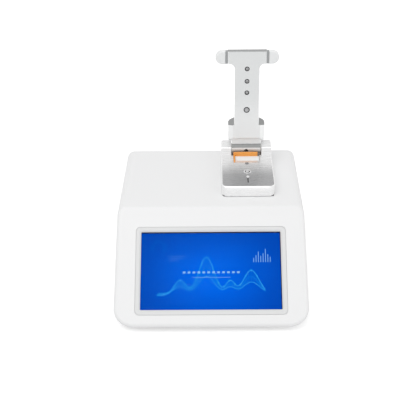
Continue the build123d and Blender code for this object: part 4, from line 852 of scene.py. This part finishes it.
class SPECTRO_OT_arm(Operator):
    """Arm, its head and caps, dark rings of painted shade, and the skirt over the hinge"""

    bl_idname = "spectro.arm"
    bl_label = "Arm"

    def execute(self, context):
        metal = settings().metal
        plastic = settings().plastic
        # Painted reflection: white and barely metallic near the hinge, fading into the arm's own tone, with
        # painted lit sides and painted shade on the shoulders.
        tones = (metal.arm_reflection_bright, metal.arm_dark, metal.arm_lit_sides, metal.arm_shaded_shoulders)
        span = (HINGE.z + ARM_REFLECTION_TO * MM, HINGE.z + ARM_REFLECTION_GONE_FROM * MM)
        arm = brushed_with_sheen("arm_aluminium_painted_sheen", tones, FORWARD, UP, *span, (0.26, 0.38), (0.12, 0.9))
        dress(arm, "arm_body", "arm_cover", "arm_hood")
        caps = grained("grip_white", plastic.grip, 0.5, shade=0.96, bump=0.05)
        dress(caps, "grip_cap_left", "grip_cap_right")
        dress(grained("seal_grey", plastic.seal, 0.6), "grip_gaskets")
        self.shade_rings(grained("painted_ring_shade", plastic.rubber, 0.6))
        # The skirt is near white, lighter than the arm's metal, so that its shaded underside reads bright:
        # painted light.
        self.skirt(grained("skirt_painted_light", (0.97, 0.975, 0.975), 0.4, shade=0.985))
        return {"FINISHED"}

    def shade_rings(self, material):
        """Dark rings round the upper pedestal, the magnet and the two screws: painted shade where the
        counterbores' shadow falls.
        """
        rings = [("pedestal_shade_ring", ARM_PEDESTAL, PEDESTAL_SHADE_RING), ("magnet_shade_ring", ARM_MAGNET, MAGNET_SHADE_RING)]
        for number, along in enumerate(ARM_SCREWS, start=1):
            rings.append((f"screw_seal_{number}", along, SCREW_SHADE_RING))
        for name, along, radius in rings:
            values = {
                "Ring Radius": radius * MM,
                "Tube Radius": SHADE_RING_TUBE * MM,
                "Turn": ARM_TURN,
                "Material": material,
            }
            place = on_arm(0, along, ARM_UNDERSIDE - SHADE_RING_SINK)
            grow(name, "painted_shade_rings", [place], values, "arm")

    def skirt(self, material):
        """Lower edge of the hood, which closes the gap above the plinth's ears."""
        right = [(SKIRT_HALF, SKIRT_TOP), (SKIRT_HALF, SKIRT_EDGE), (SKIRT_INNER, SKIRT_LOW)]
        left = [(-x, out) for x, out in reversed(right)]
        section = [left[-1]] + right + left[:-1]
        points = [on_arm(x, along, out) for along in SKIRT_ENDS for x, out in section]
        count = len(section)
        faces = [(i, (i + 1) % count, (i + 1) % count + count, i + count) for i in range(count)]
        faces += [tuple(range(count))[::-1], tuple(range(count, 2 * count))]
        mesh = new_mesh("hood_skirt", points, faces, material)
        soften(link_piece("hood_skirt", mesh, "arm"), 0.4)


class SPECTRO_OT_fasteners(Operator):
    """Socket screws of arm, rear panel and base"""

    bl_idname = "spectro.fasteners"
    bl_label = "Fasteners"

    def execute(self, context):
        metal = settings().metal
        dark = grained("screw_black", metal.screw, 0.32, metallic=0.9)
        steel = grained("screw_steel", metal.steel, 0.28, metallic=1.0)
        seat = ARM_UNDERSIDE - ARM_SCREW[1] - ARM_SCREW_SINK
        places = [on_arm(0, along, seat) for along in ARM_SCREWS]
        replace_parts(screws("arm_socket_screws", places, ARM_SCREW, ARM_TURN, dark, "arm"), "arm_screws")
        half_x = (PANEL_HIGH.x - PANEL_LOW.x) / 2 - PANEL_SCREW_INSET * MM
        half_z = (PANEL_HIGH.z - PANEL_LOW.z) / 2 - PANEL_SCREW_INSET * MM
        middle = (PANEL_HIGH + PANEL_LOW) / 2
        ends = [(x, z) for x in (-half_x, half_x) for z in (-half_z, half_z)]
        places = [Vector((middle.x + x, PANEL_HIGH.y, middle.z + z)) for x, z in ends]
        turn = (-math.pi / 2, 0, 0)
        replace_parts(screws("panel_socket_screws", places, PANEL_SCREW, turn, steel, "base"), "panel_screws")
        low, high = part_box("case_screws")
        rows = sorted({round(v.co.y, 4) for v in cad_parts["case_screws"].data.vertices})
        inset = CASE_SCREW[0] * MM
        columns, middles = (low.x + inset, high.x - inset), self.middles(rows, inset)
        places = [Vector((x, y, low.z + CASE_SCREW[1] * MM)) for x in columns for y in middles]
        turn = (math.pi, 0, 0)
        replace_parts(screws("case_socket_screws", places, CASE_SCREW, turn, steel, "base"), "case_screws")
        dress(steel, "display_screws", "plinth_bolts")
        return {"FINISHED"}

    def middles(self, values, gap):
        """Middles of the runs that sorted values fall into."""
        runs = [[values[0]]]
        for value in values[1:]:
            if value - runs[-1][-1] > 2 * gap:
                runs.append([value])
            else:
                runs[-1].append(value)
        return [(run[0] + run[-1]) / 2 for run in runs]


class SPECTRO_OT_rear(Operator):
    """Rear panel, sockets with their contacts, power inlet and switch"""

    bl_idname = "spectro.rear"
    bl_label = "Rear panel"

    def execute(self, context):
        grey = (0.42, 0.43, 0.44)
        tones = (grey, (0.36, 0.37, 0.38), grey, grey)
        panel = brushed_with_sheen("panel_grey", tones, BACKWARD, UP, PANEL_LOW.z, PANEL_HIGH.z, (0.35, 0.5))
        dress(panel, "rear_panel")
        metal = grained("socket_metal", (0.62, 0.62, 0.63), 0.22, metallic=1.0)
        dress(metal, "usb_a_sockets", "usb_b_socket", "fibre_connectors")
        dress(grained("switch_black", (0.018, 0.018, 0.02), 0.38, bump=0.06), "switch_body", "dc_inlet")
        dress(grained("rocker_black", (0.03, 0.03, 0.033), 0.28, bump=0.03), "switch_rocker")
        half = SOCKET_HALF * MM
        tongue = (SOCKETS_LOW.z + SOCKETS_HIGH.z) / 2 + CONTACT_RISE * MM
        columns = (SOCKETS_LOW.x + half, SOCKETS_HIGH.x - half)
        places = [Vector((x, SOCKETS_HIGH.y - CONTACT_INSET * MM, tongue)) for x in columns]
        values = {
            "Count": CONTACT_COUNT,
            "Pitch": CONTACT_PITCH * MM,
            "Contact Size": tuple(size * MM for size in CONTACT_SIZE),
            "Material": grained("contact_brass", settings().metal.brass, 0.25, metallic=1.0),
        }
        grow("usb_contacts", "contact_rows", places, values, "base")
        return {"FINISHED"}


class SPECTRO_OT_inside(Operator):
    """Boards, optical modules, lift and light guides inside the housing"""

    bl_idname = "spectro.inside"
    bl_label = "Inside"

    def execute(self, context):
        board = grained("board_green", (0.02, 0.13, 0.06), 0.4, shade=0.7, grain=900.0, drift=120.0)
        dress(board, "driver_board", "main_board", "power_board", "io_board", "detector_board")
        sheet = grained("sheet_steel", (0.50, 0.51, 0.52), 0.35, metallic=1.0, shade=0.85, drift=60.0)
        dress(sheet, "display_bracket", "mount_plate")
        bright = (0.72, 0.72, 0.73)
        tones = (bright, (0.66, 0.66, 0.67), bright, bright)
        machined = brushed_with_sheen("machined_aluminium", tones, UP, UP, 0.02, 0.09, (0.25, 0.4))
        dress(machined, "lift_carriage", "lift_base", "lift_pillars")
        dress(grained("motor_can", (0.16, 0.16, 0.17), 0.4, metallic=0.8), "lift_motor")
        module = grained("module_black", (0.03, 0.03, 0.032), 0.5, bump=0.1)
        dress(module, "spectrometer_case", "spectrometer_lid", "lamp_case", "lamp_lid")
        jacket = grained("guide_jacket", (0.04, 0.05, 0.11), 0.45)
        dress(jacket, "lower_light_guide", "lamp_light_guide", "upper_light_guide")
        return {"FINISHED"}


class SPECTRO_OT_stage(Operator):
    """Floor, soft lamps, white surroundings and the camera"""

    bl_idname = "spectro.stage"
    bl_label = "Studio and camera"

    def execute(self, context):
        studio = settings().studio
        self.surroundings(studio)
        self.floor(studio)
        self.lamp("key_lamp", (-0.55, -0.55, 1.9), 1.7, studio.key)
        self.lamp("fill_lamp", (1.1, -1.2, 0.9), 1.4, studio.fill)
        self.camera()
        context.scene.view_settings.view_transform = "Standard"
        return {"FINISHED"}

    def seen(self, tree):
        """1 for rays from the camera and for those that gloss or glass sends on."""
        path = add(tree, "ShaderNodeLightPath").outputs
        either = math_node(tree, "MAXIMUM", path["Is Camera Ray"], path["Is Glossy Ray"])
        return math_node(tree, "MAXIMUM", either, path["Is Transmission Ray"])

    def surroundings(self, studio):
        """White all round for the camera, plainer light for the object."""
        world = bpy.data.worlds.new("white_studio")
        bpy.context.scene.world = world
        world.use_nodes = True
        tree = world.node_tree
        level = add(
            tree, "ShaderNodeMapRange", {"Value": self.seen(tree), "To Min": studio.ambient, "To Max": 1.0}
        )
        shader = tree.nodes["Background"]
        shader.inputs["Color"].default_value = (1, 1, 1, 1)
        tree.links.new(level.outputs[0], shader.inputs["Strength"])

    def floor(self, studio):
        """Pale floor that glows for the camera and keeps the object's shadow."""
        half = studio.floor_size / 2
        corners = [(-half, -half, 0), (half, -half, 0), (half, half, 0), (-half, half, 0)]
        mesh = new_mesh("floor", corners, [(0, 1, 2, 3)])
        floor = bpy.data.objects.new("floor", mesh)
        bpy.context.scene.collection.objects.link(floor)
        material, tree, shader = new_material("white_floor")
        tree.nodes.remove(shader)
        paint = add(tree, "ShaderNodeBsdfDiffuse", {"Color": (0.8, 0.8, 0.8, 1)})
        strength = math_node(tree, "MULTIPLY", self.seen(tree), studio.glow)
        glow = add(tree, "ShaderNodeEmission", {"Strength": strength})
        both = add(tree, "ShaderNodeAddShader", {0: paint.outputs[0], 1: glow.outputs[0]})
        tree.links.new(both.outputs[0], tree.nodes["Material Output"].inputs["Surface"])
        mesh.materials.append(material)

    def lamp(self, name, place, size, power):
        """A round soft lamp that points at the camera's aim."""
        data = bpy.data.lights.new(name, "AREA")
        data.shape = "DISK"
        data.size = size
        data.energy = power
        lamp = bpy.data.objects.new(name, data)
        lamp.location = place
        lamp.rotation_mode = "QUATERNION"
        lamp.rotation_quaternion = (CAMERA_AIM - Vector(place)).to_track_quat("-Z", "Y")
        bpy.context.scene.collection.objects.link(lamp)

    def camera(self):
        """The camera, from its aim, distance, heading, drop and roll."""
        sin_heading, cos_heading = math.sin(CAMERA_HEADING), math.cos(CAMERA_HEADING)
        sin_drop, cos_drop = math.sin(CAMERA_DROP), math.cos(CAMERA_DROP)
        forward = Vector((sin_heading * cos_drop, cos_heading * cos_drop, -sin_drop))
        level = Vector((cos_heading, -sin_heading, 0))
        above = level.cross(forward)
        right = level * math.cos(CAMERA_ROLL) - above * math.sin(CAMERA_ROLL)
        up = level * math.sin(CAMERA_ROLL) + above * math.cos(CAMERA_ROLL)
        data = bpy.data.cameras.new("camera")
        data.sensor_width = SENSOR_WIDTH
        data.lens = CAMERA_FOCAL_PIXELS / IMAGE_PIXELS * SENSOR_WIDTH
        camera = bpy.data.objects.new("camera", data)
        turn = Matrix((right, up, -forward)).transposed().to_4x4()
        camera.matrix_world = Matrix.Translation(CAMERA_AIM - forward * CAMERA_DISTANCE) @ turn
        bpy.context.scene.collection.objects.link(camera)
        bpy.context.scene.camera = camera


class SpectroSettings(PropertyGroup):
    """All that a user would change"""

    plastic: PointerProperty(type=PlasticSettings, name="Plastic", description="Colours of moulded parts")
    metal: PointerProperty(type=MetalSettings, name="Metal", description="Colours of metal parts")
    screen: PointerProperty(type=ScreenSettings, name="Screen", description="Colours of the lit picture")
    studio: PointerProperty(type=StudioSettings, name="Studio", description="Floor and lamps")


OPERATORS = (
    SPECTRO_OT_housing,
    SPECTRO_OT_display,
    SPECTRO_OT_plinth,
    SPECTRO_OT_arm,
    SPECTRO_OT_fasteners,
    SPECTRO_OT_rear,
    SPECTRO_OT_inside,
    SPECTRO_OT_stage,
)


class SPECTRO_PT_panel(Panel):
    """Lists the steps that dress the instrument"""

    bl_idname = "SPECTRO_PT_panel"
    bl_label = "Instrument"
    bl_space_type = "VIEW_3D"
    bl_region_type = "UI"
    bl_category = "Instrument"

    def draw(self, context):
        for operator in OPERATORS:
            self.layout.operator(operator.bl_idname)


CLASSES = (
    PlasticSettings,
    MetalSettings,
    ScreenSettings,
    StudioSettings,
    SpectroSettings,
    *OPERATORS,
    SPECTRO_PT_panel,
)


def register():
    """Registers the classes and the scene's settings."""
    for item in CLASSES:
        bpy.utils.register_class(item)
    bpy.types.Scene.spectro = PointerProperty(type=SpectroSettings)


def unregister():
    """Takes back what register added."""
    del bpy.types.Scene.spectro
    for item in reversed(CLASSES):
        bpy.utils.unregister_class(item)


def main():
    """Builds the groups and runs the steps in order."""
    register()
    grain_group()
    brushed_sheen_group()
    screw_tree()
    ring_tree()
    contact_tree()
    bpy.ops.spectro.housing()
    bpy.ops.spectro.display()
    bpy.ops.spectro.plinth()
    bpy.ops.spectro.arm()
    bpy.ops.spectro.fasteners()
    bpy.ops.spectro.rear()
    bpy.ops.spectro.inside()
    bpy.ops.spectro.stage()


if __name__ == "__main__":
    main()
